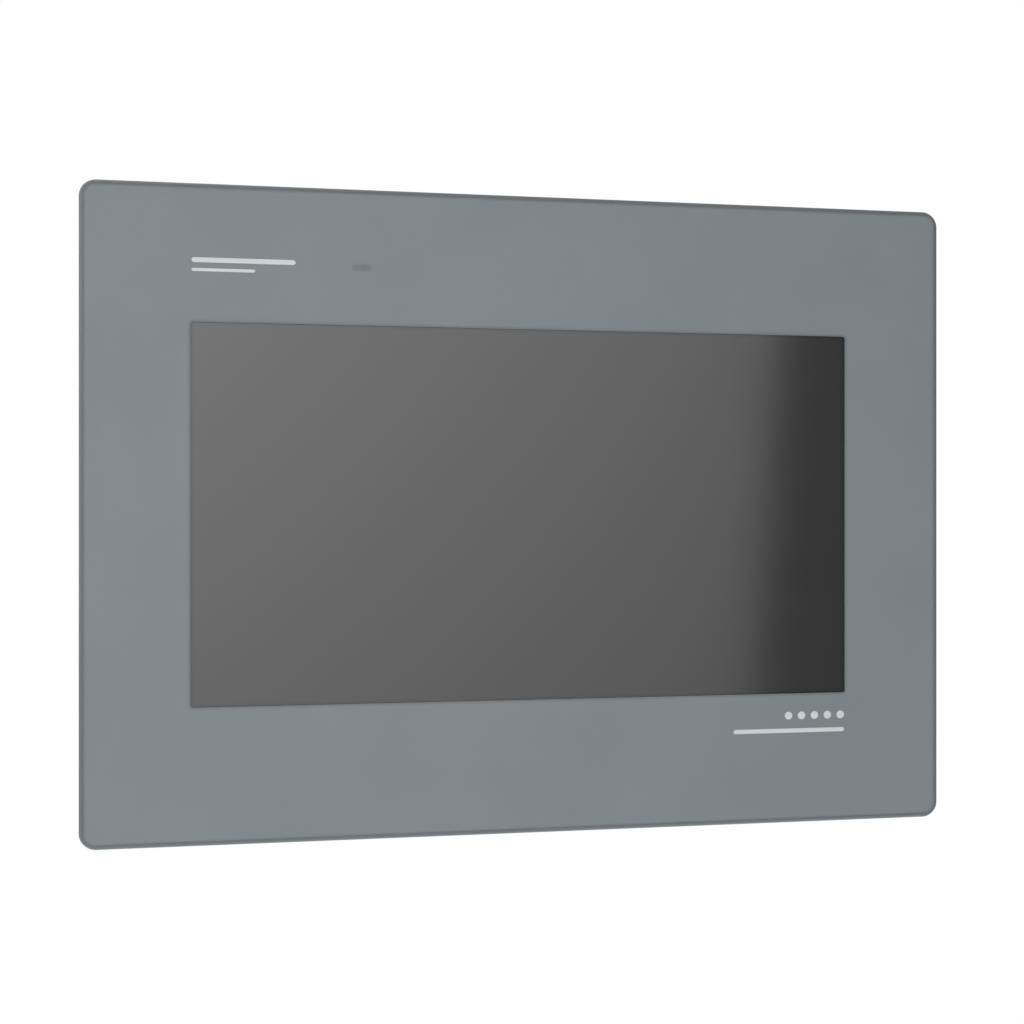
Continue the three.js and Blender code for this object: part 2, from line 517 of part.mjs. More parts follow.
// The three-pole supply connection: a header on the board, and the plug with its rising-cage terminals.
const poleX = Array.from({ length: PLUG.poles }, (_, n) => PLUG.x + (n - (PLUG.poles - 1) / 2) * PLUG.pitch);
const NOSE = { width: 17.4, front: 18.5, rear: 28.3, top: -21, play: 0.2 };
function powerHeader() {
  const body = centredBlock(PLUG.x, 20, [boardRear + 0.1, 30], [BOX.bottom - 0.2, -18]);
  const roomYs = [NOSE.front - NOSE.play, NOSE.rear + NOSE.play];
  const room = centredBlock(PLUG.x, NOSE.width + 2 * NOSE.play, roomYs, [BOX.bottom - 1, NOSE.top + 0.4]);
  const pins = poleX.map((x) => centredBlock(x, 1, [22.9, 23.9], [-28.4, -20]));
  return join(cut(body, room), ...pins);
}
const CAGE = { width: 3.6, front: 20.4, rear: 26.6, bottom: -39, top: -35 };
function powerPlug() {
  const outside = centredBlock(PLUG.x, NOSE.width, [16.9, 31.9], [-42.5, BOX.bottom - 0.6]);
  const nose = centredBlock(PLUG.x, NOSE.width, [NOSE.front, NOSE.rear], [BOX.bottom - 1, NOSE.top]);
  const cageZs = [CAGE.bottom - 0.3, CAGE.top + 0.3];
  const rooms = poleX.flatMap((x) => [
    centredBlock(x, 1.6, [22.6, 24.2], [-30, -20]), // the pin's socket
    centredBlock(x, CAGE.width + 0.4, [CAGE.front - 0.4, 29.1], cageZs), // the cage's room
    centredBlock(x, 2.6, [21.6, 25.4], [-43, CAGE.bottom]), // the wire's entry
    rodY(PLUG_SCREW.shank + 0.25, [29, 30], x, PLUG.screwZ, 12),
    rodY(PLUG_SCREW.head + 0.2, [29.5, 33], x, PLUG.screwZ),
  ]);
  return cut(join(outside, nose), ...rooms);
}
function plugCage(x) {
  const cage = centredBlock(x, CAGE.width, [CAGE.front, CAGE.rear], [CAGE.bottom, CAGE.top]);
  const wireRoom = centredBlock(x, 2.4, [CAGE.front + 0.9, CAGE.rear - 1], [CAGE.bottom - 1, CAGE.top + 1]);
  const screwHole = rodY(PLUG_SCREW.shank + 0.2, [CAGE.rear - 2, CAGE.rear + 1], x, PLUG.screwZ, 12);
  return cut(cage, wireRoom, screwHole);
}
const PLUG_SCREW = { shank: 1.2, head: 1.95 };
const plugScrew = (x) =>
  screwY({ x, z: PLUG.screwZ, ...PLUG_SCREW, tip: 23.9, headFront: 29.6, headRear: 31.4 });

// ---- parts on the board's rear ----
const onBoard = (x, width, height, z0, z1) =>
  centredBlock(x, width, [boardRear + GAP, boardRear + height], [z0, z1]);
const COIN = { x: 52, z: 36, radius: 10, thickness: 3.2 };
function coinCellHolder() {
  const base = onBoard(COIN.x, 23, 4.6, COIN.z - 11, COIN.z + 11);
  const pocket = rodY(COIN.radius + 0.2, [boardRear + 1, boardRear + 6], COIN.x, COIN.z, 28);
  const fingerGap = centredBlock(COIN.x, 7, [boardRear + 2, boardRear + 6], [COIN.z - 12, COIN.z]);
  return cut(base, pocket, fingerGap);
}
const coinCell = () =>
  rodY(COIN.radius, [boardRear + 1.1, boardRear + 1.1 + COIN.thickness], COIN.x, COIN.z, 24);
const buzzer = () => cut(
  rodY(6, [boardRear + GAP, boardRear + 5.5], 46, 2, 24),
  rodY(1.1, [boardRear + 4, boardRear + 6], 46, 2, 12),
);

add('bezel_frame', bezelFrame(), SLATE);
add('front_overlay', frontOverlay(), PRINTED_FILM);
add('touch_sensor', touchSensor(), DARK_GLASS);
add('touch_tail', touchTail(), POLYIMIDE);
add('touch_gasket', touchGasket(), FOAM);
add('lcd_frame', lcdFrame(), STEEL);
add('lcd_panel', lcdPanel(), DARK_GLASS);
add('backlight_unit', backlightUnit(), WHITE_PLASTIC);
add('lcd_tail', lcdTail(), POLYIMIDE);
add('status_light_pipe', statusLightPipe(), SMOKED);
add('panel_gasket', panelGasket(), RUBBER);
add('chassis_plate', chassisPlate(), STEEL);
add('main_board', mainBoard(), SOLDER_MASK);
add('processor_chip', onBoard(-12, 17, 1.5, 14, 31), CHIP);
add('memory_chip', onBoard(10, 12.5, 1.2, 17, 26), CHIP);
add('power_inductor', onBoard(-60, 12, 7, 2, 14), FERRITE);
add('supply_capacitor', rodY(5, [boardRear + GAP, boardRear + 12.5], -42, 8, 24), CHIP);
add('coin_cell_holder', coinCellHolder(), BLACK_PLASTIC);
add('coin_cell', coinCell(), STEEL);
add('buzzer', buzzer(), BLACK_PLASTIC);
add('ethernet_jack', modularJack(PORT_X.ethernetJack), NICKEL);
add('serial_jack', modularJack(PORT_X.serialJack), BLACK_PLASTIC);
add('usb_host_port', usbHostPort(), NICKEL);
add('usb_device_port', usbDevicePort(), NICKEL);
add('serial_port_shell', serialPortShell(), NICKEL);
add('serial_port_body', serialPortBody(), BLACK_PLASTIC);
add('jack_screw_left', jackScrew(screwPlaces[0]), STEEL);
add('jack_screw_right', jackScrew(screwPlaces[1]), STEEL);
add('power_header', powerHeader(), PLUG_GREEN);
add('power_plug', powerPlug(), PLUG_GREEN);
poleX.forEach((x, n) => {
  add(`plug_cage_${n + 1}`, plugCage(x), BRASS);
  add(`plug_screw_${n + 1}`, plugScrew(x), STEEL);
});
boardHoles.forEach(([x, z], n) => {
  const { head, shank } = BOARD_SCREW;
  const heights = { tip: 9, headFront: boardRear + GAP, headRear: boardRear + 2 };
  add(`board_screw_${n + 1}`, screwY({ x, z, head, shank, ...heights }), STEEL);
});
add('rear_case', rearCase(), CASE_PLASTIC);
add('rating_label', plateY(labelOutline(), CASE.back - LABEL.depth + GAP, CASE.back - 0.1), LABEL_FOIL);
for (const [where, i, k] of fourCorners) {
  const { x, z, head, shank } = CASE_SCREW;
  const heights = { tip: 1, headFront: 14.45, headRear: 16.3 };
  add(`case_screw_${where}`, screwY({ x: i * x, z: k * z, head, shank, ...heights }), STEEL);
  add(`clamp_body_${where}`, clampBody(i, k), ZINC);
  add(`clamp_pad_${where}`, clampPad(i, k), BLACK_PLASTIC);
  add(`clamp_screw_${where}`, clampScrew(i, k), STEEL);
}

export default panel;
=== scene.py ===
# Operator panel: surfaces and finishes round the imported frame. Metres, +Z up, the touch face looks along -Y.
import json
import math

import bmesh
import bpy
import numpy as np
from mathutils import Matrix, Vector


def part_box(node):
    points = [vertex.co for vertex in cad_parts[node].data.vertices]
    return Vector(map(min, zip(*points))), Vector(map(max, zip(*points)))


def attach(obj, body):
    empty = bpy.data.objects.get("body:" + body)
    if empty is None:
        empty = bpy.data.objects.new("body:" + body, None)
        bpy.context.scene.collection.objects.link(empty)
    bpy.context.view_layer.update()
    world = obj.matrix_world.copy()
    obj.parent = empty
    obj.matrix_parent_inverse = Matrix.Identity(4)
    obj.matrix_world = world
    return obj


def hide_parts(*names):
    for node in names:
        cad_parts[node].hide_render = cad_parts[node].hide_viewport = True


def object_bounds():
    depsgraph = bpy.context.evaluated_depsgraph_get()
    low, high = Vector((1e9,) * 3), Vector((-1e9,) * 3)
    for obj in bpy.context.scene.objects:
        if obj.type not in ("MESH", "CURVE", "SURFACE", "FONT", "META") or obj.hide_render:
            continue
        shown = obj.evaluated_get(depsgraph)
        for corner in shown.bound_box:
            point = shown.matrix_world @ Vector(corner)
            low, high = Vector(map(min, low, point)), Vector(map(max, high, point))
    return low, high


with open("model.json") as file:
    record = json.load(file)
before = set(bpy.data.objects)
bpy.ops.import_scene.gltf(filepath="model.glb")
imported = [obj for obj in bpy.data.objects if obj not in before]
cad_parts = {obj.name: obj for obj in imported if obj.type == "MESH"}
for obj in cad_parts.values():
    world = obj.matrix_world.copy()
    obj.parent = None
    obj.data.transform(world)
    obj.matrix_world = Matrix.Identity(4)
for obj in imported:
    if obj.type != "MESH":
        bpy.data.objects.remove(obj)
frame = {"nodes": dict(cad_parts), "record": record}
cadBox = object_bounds()
mm = 0.001
fullTurn = 2 * math.pi
corners = {"top_left": (-1, 1), "top_right": (1, 1), "bottom_left": (-1, -1), "bottom_right": (1, -1)}
print("frame loaded:", len(frame["nodes"]), "CAD nodes")


# Corner numbers of every cell of a grid of points; a closed direction joins its last line to its first.
def gridCells(rows, columns, closeRows, closeColumns):
    rowNumbers, columnNumbers = np.arange(rows - (not closeRows)), np.arange(columns - (not closeColumns))
    r, c = np.meshgrid(rowNumbers, columnNumbers, indexing="ij")
    below, beside = (r + 1) % rows, (c + 1) % columns
    cells = [r * columns + c, r * columns + beside, below * columns + beside, below * columns + c]
    return np.stack(cells, -1).reshape(-1, 4)


# A skin is its points, its faces and the finish number of each face.
def gridSkin(grid, closeRows=False, closeColumns=True, capped=False, finish=0):
    rows, columns = grid.shape[:2]
    faces = gridCells(rows, columns, closeRows, closeColumns).tolist()
    if capped:
        faces += [list(range(columns)), list(range((rows - 1) * columns, rows * columns))]
    return grid.reshape(-1, 3), faces, [finish] * len(faces)


def joinSkins(skins):
    starts = np.cumsum([0] + [len(s[0]) for s in skins])
    points = np.concatenate([s[0] for s in skins])
    faces = [[i + int(start) for i in face] for s, start in zip(skins, starts) for face in s[1]]
    return points, faces, [f for s in skins for f in s[2]]


# Copies of one skin, each moved by one row of offsets: point + offset for every pair, as one array.
def repeatSkin(skin, offsets):
    points, faces, finishes = skin
    offsets = np.asarray(offsets, float)
    moved = (points[None] + offsets[:, None]).reshape(-1, 3)
    allFaces = [[i + k * len(points) for i in face] for k in range(len(offsets)) for face in faces]
    return moved, allFaces, finishes * len(offsets)


# Round rectangles, one for each row (width, height, corner radius, y): each corner is a quarter circle of
# that radius about its own centre, so point = centre + radius * (cos a, sin a).
def loopGrid(rows, centre=(0, 0), steps=8):
    width, height, radius, y = np.asarray(rows, float).T[:, :, None]
    angle = (np.arange(4)[:, None] * 90 + np.linspace(-90, 0, steps + 1)[None]).ravel() * math.pi / 180
    signX = np.repeat([1, 1, -1, -1], steps + 1)
    signZ = np.repeat([-1, 1, 1, -1], steps + 1)
    x = centre[0] + signX * (width / 2 - radius) + radius * np.cos(angle)
    z = centre[1] + signZ * (height / 2 - radius) + radius * np.sin(angle)
    return np.stack([x, y + 0 * x, z], -1)


# A surface turned about a line along Y or Z: for profile rows (radius, along) and angle a,
# point = axis point + radius * (cos a, sin a) across the line, and along on it.
def turnedGrid(rows, centre, axis="y", sides=48):
    radius, along = np.asarray(rows, float).T[:, :, None]
    angle = np.arange(sides)[None] * fullTurn / sides
    u, v = centre[0] + radius * np.cos(angle), centre[1] + radius * np.sin(angle)
    flat = along + 0 * u
    return np.stack([u, flat, v] if axis == "y" else [u, v, flat], -1)


# A closed outline (n, 2) carried along an axis from low to high: two rows of the same points, capped.
def barSkin(outline, low, high, axis="x", finish=0):
    outline = np.asarray(outline, float)
    ends = np.repeat(np.array([low, high], float)[:, None], len(outline), 1)
    across = np.repeat(outline[None], 2, 0)
    order = {"x": [ends, across[..., 0], across[..., 1]], "y": [across[..., 0], ends, across[..., 1]],
             "z": [across[..., 0], across[..., 1], ends]}[axis]
    return gridSkin(np.stack(order, -1), capped=True, finish=finish)


def blockSkin(low, high, finish=0):
    outline = [(low[0], low[1]), (high[0], low[1]), (high[0], high[1]), (low[0], high[1])]
    return barSkin(outline, low[2], high[2], "z", finish)


# A flat strip of given width in X along a line in Y and Z: each end of the section is the line moved half
# the thickness along its normal, and the section is a rectangle carried from point to point.
def stripSkin(line, width, thickness, x=0.0):
    line = np.asarray(line, float)
    along = np.gradient(line, axis=0)
    normal = np.stack([-along[:, 1], along[:, 0]], -1) / np.linalg.norm(along, axis=1)[:, None]
    near, far = line - normal * thickness / 2, line + normal * thickness / 2
    left, right = np.full(len(line), x - width / 2), np.full(len(line), x + width / 2)
    grid = np.stack([np.c_[left, near], np.c_[right, near], np.c_[right, far], np.c_[left, far]], 1)
    return gridSkin(grid, capped=True)


# A line through given points with its bends rounded: repeated corner cutting at 1/4 and 3/4 of each side.
def softened(points, rounds=3):
    points = np.asarray(points, float)
    for _ in range(rounds):
        a, b = points[:-1], points[1:]
        cut = np.stack([0.75 * a + 0.25 * b, 0.25 * a + 0.75 * b], 1).reshape(-1, 2)
        points = np.concatenate([points[:1], cut, points[-1:]])
    return points


# A soft step from 0 to 1: t * t * (3 - 2 * t), with t kept between 0 and 1.
def smoothStep(t):
    t = np.clip(t, 0, 1)
    return t * t * (3 - 2 * t)


# The outer edge of a turned part, rounded by a quarter circle: from (radius, top - round) in to
# (radius - round, top), as rows (radius, along).
def roundedEdge(radius, top, rounding, points):
    bend = np.linspace(0, math.pi / 2, points)
    return np.c_[radius - rounding * (1 - np.cos(bend)), top - rounding + rounding * np.sin(bend)]


# The low and high corners of a CAD part that is turned about Y, its centre in X and Z, and its radius.
def turnedPart(node):
    low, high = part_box(node)
    return low, high, ((low.x + high.x) / 2, (low.z + high.z) / 2), (high.x - low.x) / 2


# Points that lie nearer than a gap are one point: seams of the skins here, and of the CAD copies. Faces of a
# copy that turn by less than the flat angle, in degrees, become one face.
mending = dict(seamGap=2e-7, copyGap=1e-6, flatAngle=0.6)
# How strongly large faces set a bevel's normals, a bevel's segments, and a sharp edge's angle in degrees.
faceWeight, bevelSegments, sharpAngle = 60, 2, 32


# Puts a skin into a mesh object, closes its seams and poles, and turns its faces outwards.
def addPiece(name, skins, finishNames, body="panel", stands=(), sharp=sharpAngle):
    points, faces, finishNumbers = joinSkins(skins)
    mesh = bpy.data.meshes.new(name)
    mesh.from_pydata(points.tolist(), [], faces)
    mesh.polygons.foreach_set("material_index", finishNumbers)
    tidyMesh(mesh, mending["seamGap"])
    return finishPiece(name, mesh, finishNames, body, stands, sharp)


def tidyMesh(mesh, gap, flatAngle=None):
    work = bmesh.new()
    work.from_mesh(mesh)
    bmesh.ops.remove_doubles(work, verts=work.verts, dist=gap)
    bmesh.ops.dissolve_degenerate(work, dist=gap, edges=work.edges)
    if flatAngle:
        limit = math.radians(flatAngle)
        bmesh.ops.dissolve_limit(work, angle_limit=limit, verts=work.verts, edges=work.edges)
        bmesh.ops.triangulate(work, faces=work.faces)
    bmesh.ops.recalc_face_normals(work, faces=work.faces)
    work.to_mesh(mesh)
    work.free()


def finishPiece(name, mesh, finishNames, body, stands, sharp, bevel=0.0, segments=bevelSegments):
    piece = bpy.data.objects.new(name, mesh)
    bpy.context.scene.collection.objects.link(piece)
    for finish in finishNames:
        mesh.materials.append(finishes[finish])
    mesh.polygons.foreach_set("use_smooth", [True] * len(mesh.polygons))
    if bevel:
        edges = piece.modifiers.new("softEdges", "BEVEL")
        edges.width, edges.segments, edges.limit_method = bevel, segments, "ANGLE"
        edges.angle_limit, edges.use_clamp_overlap = math.radians(sharp), False
        flat = piece.modifiers.new("flatFaces", "WEIGHTED_NORMAL")
        flat.weight, flat.keep_sharp = faceWeight, True
    else:
        mesh.set_sharp_from_angle(angle=math.radians(sharp))
    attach(piece, body)
    if stands:
        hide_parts(*([stands] if isinstance(stands, str) else stands))
    return piece


bodyOf = {node: body for body, nodes in frame["record"]["behaviour"]["bodies"].items() for node in nodes}


# A merged copy of a CAD node with its sharp edges rounded, which stands for the node.
def polish(node, finishNames, bevel, segments=bevelSegments, sharp=sharpAngle, pick=None, reshape=None):
    mesh = frame["nodes"][node].data.copy()
    mesh.name = node
    mesh.materials.clear()
    tidyMesh(mesh, mending["copyGap"], mending["flatAngle"])
    # normals kept from the CAD faces would shade the merged faces along their old diagonals
    if "custom_normal" in mesh.attributes:
        mesh.attributes.remove(mesh.attributes["custom_normal"])
    if reshape:
        points = np.zeros(len(mesh.vertices) * 3)
        mesh.vertices.foreach_get("co", points)
        mesh.vertices.foreach_set("co", reshape(points.reshape(-1, 3)).ravel())
    if pick:
        centres = np.zeros(len(mesh.polygons) * 3)
        mesh.polygons.foreach_get("center", centres)
        mesh.polygons.foreach_set("material_index", pick(centres.reshape(-1, 3)).astype(int).tolist())
    finishPiece(node + "_finished", mesh, finishNames, bodyOf[node], node, sharp, bevel,
                segments)


# A colour of 0 to 255 a channel, made linear: c / 12.92 when dark, or else ((c + 0.055) / 1.055) ^ 2.4.
def tint(r, g, b):
    c = np.array([r, g, b]) / 255
    linear = np.where(c <= 0.04045, c / 12.92, ((c + 0.055) / 1.055) ** 2.4)
    return (*[float(x) for x in linear], 1.0)


# Noise stays mostly between two shares, which are spread to run from 0 to 1: fully, or a little less so.
narrowBand, wideBand = (0.35, 0.65), (0.3, 0.7)


# Nodes of one material, added and linked by short calls.
class Finish:
    def __init__(self, name):
        self.material = bpy.data.materials.new(name)
        self.material.use_nodes = True
        self.tree = self.material.node_tree
        self.shader = self.tree.nodes["Principled BSDF"]
        self.place = self.add("ShaderNodeTexCoord").outputs["Object"]

    def add(self, kind, **sockets):
        node = self.tree.nodes.new(kind)
        for key, value in sockets.items():
            self.feed(node.inputs[key.replace("_", " ")], value)
        return node

    def feed(self, socket, value):
        if isinstance(value, bpy.types.NodeSocket):
            self.tree.links.new(value, socket)
        else:
            socket.default_value = value

    def stretched(self, scale):
        node = self.add("ShaderNodeMapping", Vector=self.place)
        node.inputs["Scale"].default_value = scale
        return node.outputs["Vector"]

    def noise(self, size, detail=2.0, roughness=0.5, place=None):
        node = self.add("ShaderNodeTexNoise", Vector=place or self.place, Scale=1 / size, Detail=detail,
                        Roughness=roughness)
        return node.outputs["Fac"]

    def cells(self, size):
        return self.add("ShaderNodeTexVoronoi", Vector=self.place, Scale=1 / size).outputs["Distance"]

    def math(self, operation, a, b=0.0, clamp=False):
        node = self.tree.nodes.new("ShaderNodeMath")
        node.operation, node.use_clamp = operation, clamp
        for socket, value in zip(node.inputs, (a, b)):
            self.feed(socket, value)
        return node.outputs[0]

    def ranged(self, value, fromLow, fromHigh, toLow=0.0, toHigh=1.0, smooth=False):
        node = self.tree.nodes.new("ShaderNodeMapRange")
        node.interpolation_type = "SMOOTHSTEP" if smooth else "LINEAR"
        for socket, number in zip(node.inputs, (value, fromLow, fromHigh, toLow, toHigh)):
            self.feed(socket, number)
        return node.outputs[0]

    def mixed(self, share, a, b):
        node = self.tree.nodes.new("ShaderNodeMix")
        node.data_type = "RGBA"
        for name, value in (("Factor_Float", share), ("A_Color", a), ("B_Color", b)):
            socket = next(s for s in node.inputs if s.identifier == name)
            self.feed(socket, value)
        return next(s for s in node.outputs if s.identifier == "Result_Color")

    def split(self):
        return self.add("ShaderNodeSeparateXYZ", Vector=self.place).outputs

    # How far a coordinate lies from a line: |value - at|.
    def awayFrom(self, value, at):
        return self.math("ABSOLUTE", self.math("SUBTRACT", value, at))

    # Distance outside a round rectangle in X and Z, negative inside. With q = |p - centre| - (half - radius),
    # it is the length of q's positive part, plus the larger of q where both are negative, less the radius.
    def fromRound(self, width, height, radius, centre=(0, 0)):
        x, _, z = self.split()
        qx = self.math("SUBTRACT", self.awayFrom(x, centre[0]), width / 2 - radius)
        qz = self.math("SUBTRACT", self.awayFrom(z, centre[1]), height / 2 - radius)
        px, pz = self.math("MAXIMUM", qx, 0.0), self.math("MAXIMUM", qz, 0.0)
        squares = self.math("ADD", self.math("MULTIPLY", px, px), self.math("MULTIPLY", pz, pz))
        outside = self.math("SQRT", squares)
        inside = self.math("MINIMUM", self.math("MAXIMUM", qx, qz), 0.0)
        return self.math("SUBTRACT", self.math("ADD", outside, inside), radius)

    # Roughness that wanders between the look's two values by noise of the look's gloss size.
    def glossOf(self, look, detail=4):
        return self.ranged(self.noise(look["gloss"], detail), *wideBand, *look["roughness"])

    def attribute(self, name):
        node = self.add("ShaderNodeAttribute")
        node.attribute_name = name
        return node.outputs["Fac"]

    def bump(self, height, distance, strength=1.0):
        node = self.add("ShaderNodeBump", Height=height, Distance=distance, Strength=strength)
        self.feed(self.shader.inputs["Normal"], node.outputs["Normal"])

    def set(self, **sockets):
        for key, value in sockets.items():
            self.feed(self.shader.inputs[key.replace("_", " ")], value)


moulding = dict(patch=18 * mm, gloss=2 * mm, speckBand=(0.62, 0.8), pitShare=0.8)


# A moulded surface: two tints mixed by broad noise, roughness by finer noise, a grain, and specks or pits.
def mouldedFinish(name, look):
    f = Finish(name)
    broad = f.ranged(f.noise(look.get("patch", moulding["patch"]), 3), *narrowBand)
    colour = f.mixed(broad, look["colour"], look["colour2"])
    height = fine = f.noise(look["grain"], 3, 0.6)
    if "speck" in look:
        specks = f.ranged(fine, *moulding["speckBand"], 0, look["speck"])
        colour = f.mixed(specks, colour, look["speckColour"])
    f.set(Base_Color=colour, Roughness=f.ranged(f.noise(moulding["gloss"], 4), *wideBand, *look["roughness"]))
    if "pits" in look:
        height = f.math("ADD", fine, f.math("MULTIPLY", f.cells(look["pits"]), moulding["pitShare"]))
    f.bump(height, look["height"], look.get("strength", 1.0))
    return f.material


metalwork = dict(patch=5 * mm, ringShare=0.35)


# A worked metal: streaks are noise stretched along one axis, and turned parts get fine rings, which are the
# sine of the point's distance from the axis of its own screw.
def metalFinish(name, look):
    f = Finish(name)
    broad = f.ranged(f.noise(look.get("patch", metalwork["patch"]), 3), *narrowBand)
    streak = f.noise(look["streak"], 3, 0.6, f.stretched(look.get("stretch", (1, 1, 1))))
    f.set(Base_Color=f.mixed(broad, look["colour"], look["colour2"]), Metallic=1.0,
          Roughness=f.ranged(streak, *wideBand, *look["roughness"]))
    height = streak
    if "rings" in look:
        ring = f.math("SINE", f.math("MULTIPLY", f.attribute("ownRadius"), fullTurn / look["rings"]))
        height = f.math("ADD", streak, f.math("MULTIPLY", ring, metalwork["ringShare"]))
    f.bump(height, look["height"])
    return f.material


mouldedLooks = {
    "caseTexture": dict(colour=tint(52, 55, 57), colour2=tint(58, 61, 63), roughness=(0.5, 0.68),
                        grain=0.42 * mm, pits=0.7 * mm, height=0.05 * mm, strength=0.8, patch=40 * mm,
                        speck=0.35, speckColour=tint(84, 88, 90)),
    "blackMoulding": dict(colour=tint(24, 25, 26), colour2=tint(30, 31, 32), roughness=(0.35, 0.5),
                          grain=0.3 * mm, height=0.01 * mm),
    "gasketRubber": dict(colour=tint(27, 28, 29), colour2=tint(36, 37, 38), roughness=(0.6, 0.8),
                         grain=0.5 * mm, height=0.02 * mm, speck=0.3, speckColour=tint(70, 70, 70)),
    "foam": dict(colour=tint(30, 31, 32), colour2=tint(42, 43, 44), roughness=(0.85, 0.95), grain=0.35 * mm,
                 pits=0.5 * mm, height=0.12 * mm),
    "greenMoulding": dict(colour=tint(38, 118, 70), colour2=tint(46, 130, 80), roughness=(0.35, 0.5),
                          grain=0.35 * mm, height=0.012 * mm, patch=9 * mm),
    "whiteMoulding": dict(colour=tint(225, 226, 222), colour2=tint(233, 234, 231), roughness=(0.4, 0.55),
                          grain=0.4 * mm, height=0.01 * mm),
    "epoxy": dict(colour=tint(30, 31, 32), colour2=tint(37, 38, 39), roughness=(0.5, 0.7), grain=0.16 * mm,
                  height=0.01 * mm, speck=0.5, speckColour=tint(66, 67, 68)),
    "ferrite": dict(colour=tint(70, 71, 73), colour2=tint(84, 84, 85), roughness=(0.6, 0.8), grain=0.2 * mm,
                    pits=0.35 * mm, height=0.02 * mm),
    "sleeve": dict(colour=tint(22, 26, 34), colour2=tint(27, 31, 40), roughness=(0.28, 0.4), grain=0.6 * mm,
                   height=0.01 * mm),
    "ceramic": dict(colour=tint(150, 120, 84), colour2=tint(168, 140, 104), roughness=(0.5, 0.65),
                    grain=0.2 * mm, height=0.01 * mm),
}
metalLooks = {
    "zincPlate": dict(colour=tint(186, 190, 194), colour2=tint(200, 200, 196), roughness=(0.24, 0.42),
                      streak=0.4 * mm, height=0.008 * mm, rings=0.16 * mm),
    "castZinc": dict(colour=tint(150, 153, 156), colour2=tint(172, 174, 175), roughness=(0.42, 0.62),
                     streak=0.55 * mm, height=0.035 * mm, patch=3 * mm),
    "nickelSheet": dict(colour=tint(196, 192, 182), colour2=tint(208, 205, 197), roughness=(0.22, 0.36),
                        streak=0.25 * mm, stretch=(1, 1, 0.08), height=0.004 * mm),
    "steelSheet": dict(colour=tint(168, 172, 176), colour2=tint(188, 190, 192), roughness=(0.3, 0.5),
                       streak=0.5 * mm, stretch=(0.06, 1, 1), height=0.006 * mm),
    "gold": dict(colour=tint(226, 184, 96), colour2=tint(236, 198, 116), roughness=(0.18, 0.3),
                 streak=0.3 * mm, height=0.002 * mm),
    "tin": dict(colour=tint(200, 203, 205), colour2=tint(214, 216, 217), roughness=(0.3, 0.45),
                streak=0.3 * mm, height=0.006 * mm),
    "brassPlate": dict(colour=tint(204, 186, 140), colour2=tint(214, 198, 156), roughness=(0.25, 0.4),
                       streak=0.3 * mm, stretch=(1, 0.1, 1), height=0.006 * mm),
}
finishes = {name: mouldedFinish(name, look) for name, look in mouldedLooks.items()}
finishes |= {name: metalFinish(name, look) for name, look in metalLooks.items()}
# The film's darker shade tone is painted shade. It is laid on within a set distance of the window and within a
# set distance of the outer edge, each up to its own share.
film = dict(colour=tint(127, 135, 139), colour2=tint(130, 138, 142), paintedShade=tint(105, 112, 116), patch=26 * mm,
            windowShade=0.8 * mm, windowShadeShare=0.8, edgeShade=0.6 * mm, edgeShadeShare=0.5, roughness=(0.44, 0.5),
            gloss=6 * mm, grain=0.13 * mm, height=0.004 * mm, strength=0.6, specular=0.3,
            corner=2.69 * mm, grow=0.14 * mm, growFrom=(96 * mm, 69 * mm), face=0.1 * mm, sink=0.02 * mm)
# The rim's tones are partly the moulding's own darker grey and partly painted shade. The darkening in from the
# outer edge is painted shade of the rounded edge.
rim = dict(outer=tint(117, 125, 129), shadeTone=tint(103, 111, 115), shadeFrom=0.2 * mm, shadeAt=0.9 * mm,
           corner=3.8 * mm, patch=5 * mm, mottle=(0.9, 1.0), roughness=(0.42, 0.52), gloss=2 * mm,
           grain=0.22 * mm, height=0.006 * mm, specular=0.4)
window = dict(width=155 * mm, height=86.5 * mm, corner=0.6 * mm)


# The printed film: fine matt grain, and painted shade that darkens its tone towards the window and towards the
# outer edge.
def filmFinish():
    f = Finish("slateFilm")
    broad = f.ranged(f.noise(film["patch"], 3), *narrowBand)
    colour = f.mixed(broad, film["colour"], film["colour2"])
    # painted shade: the film darkens next to the window and next to its outer edge
    toWindow = f.fromRound(window["width"], window["height"], window["corner"])
    shadeByWindow = f.ranged(toWindow, 0, film["windowShade"], film["windowShadeShare"], 0, smooth=True)
    low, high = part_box("front_overlay")
    width, height = high.x - low.x + 2 * film["grow"], high.z - low.z + 2 * film["grow"]
    toEdge = f.fromRound(width, height, film["corner"])
    shadeByEdge = f.ranged(toEdge, -film["edgeShade"], 0, 0, film["edgeShadeShare"], smooth=True)
    shaded = f.mixed(f.math("MAXIMUM", shadeByWindow, shadeByEdge), colour, film["paintedShade"])
    f.set(Base_Color=shaded, Roughness=f.glossOf(film), Specular_IOR_Level=film["specular"])
    f.bump(f.noise(film["grain"], 2, 0.6), film["height"], film["strength"])
    return f.material


# The moulded rim: the film's tone outside, darkened by painted shade that grows with the distance in from the
# outer edge.
def rimFinish():
    f = Finish("slateRim")
    low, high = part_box("bezel_frame")
    inward = f.math("MULTIPLY", f.fromRound(high.x - low.x, high.z - low.z, rim["corner"]), -1.0)
    # painted shade: the rim darkens between these two distances in from its outer edge
    rimShade = f.ranged(inward, rim["shadeFrom"], rim["shadeAt"], 0, 1, smooth=True)
    mottle = f.ranged(f.noise(rim["patch"], 3), *wideBand, *rim["mottle"])
    colour = f.mixed(f.math("MULTIPLY", rimShade, mottle), rim["outer"], rim["shadeTone"])
    f.set(Base_Color=colour, Roughness=f.glossOf(rim), Specular_IOR_Level=rim["specular"])
    f.bump(f.noise(rim["grain"], 3, 0.6), rim["height"])
    return f.material


screen = dict(base=tint(50, 50, 50), border=tint(44, 43, 45), width=154.1 * mm, height=85.9 * mm,
              corner=0.3 * mm, borderBand=(-0.5 * mm, 0.1 * mm), roughness=(0.1, 0.115), gloss=9 * mm,
              sparkle=0.16 * mm, sparkleHeight=0.0008 * mm, strength=0.4)


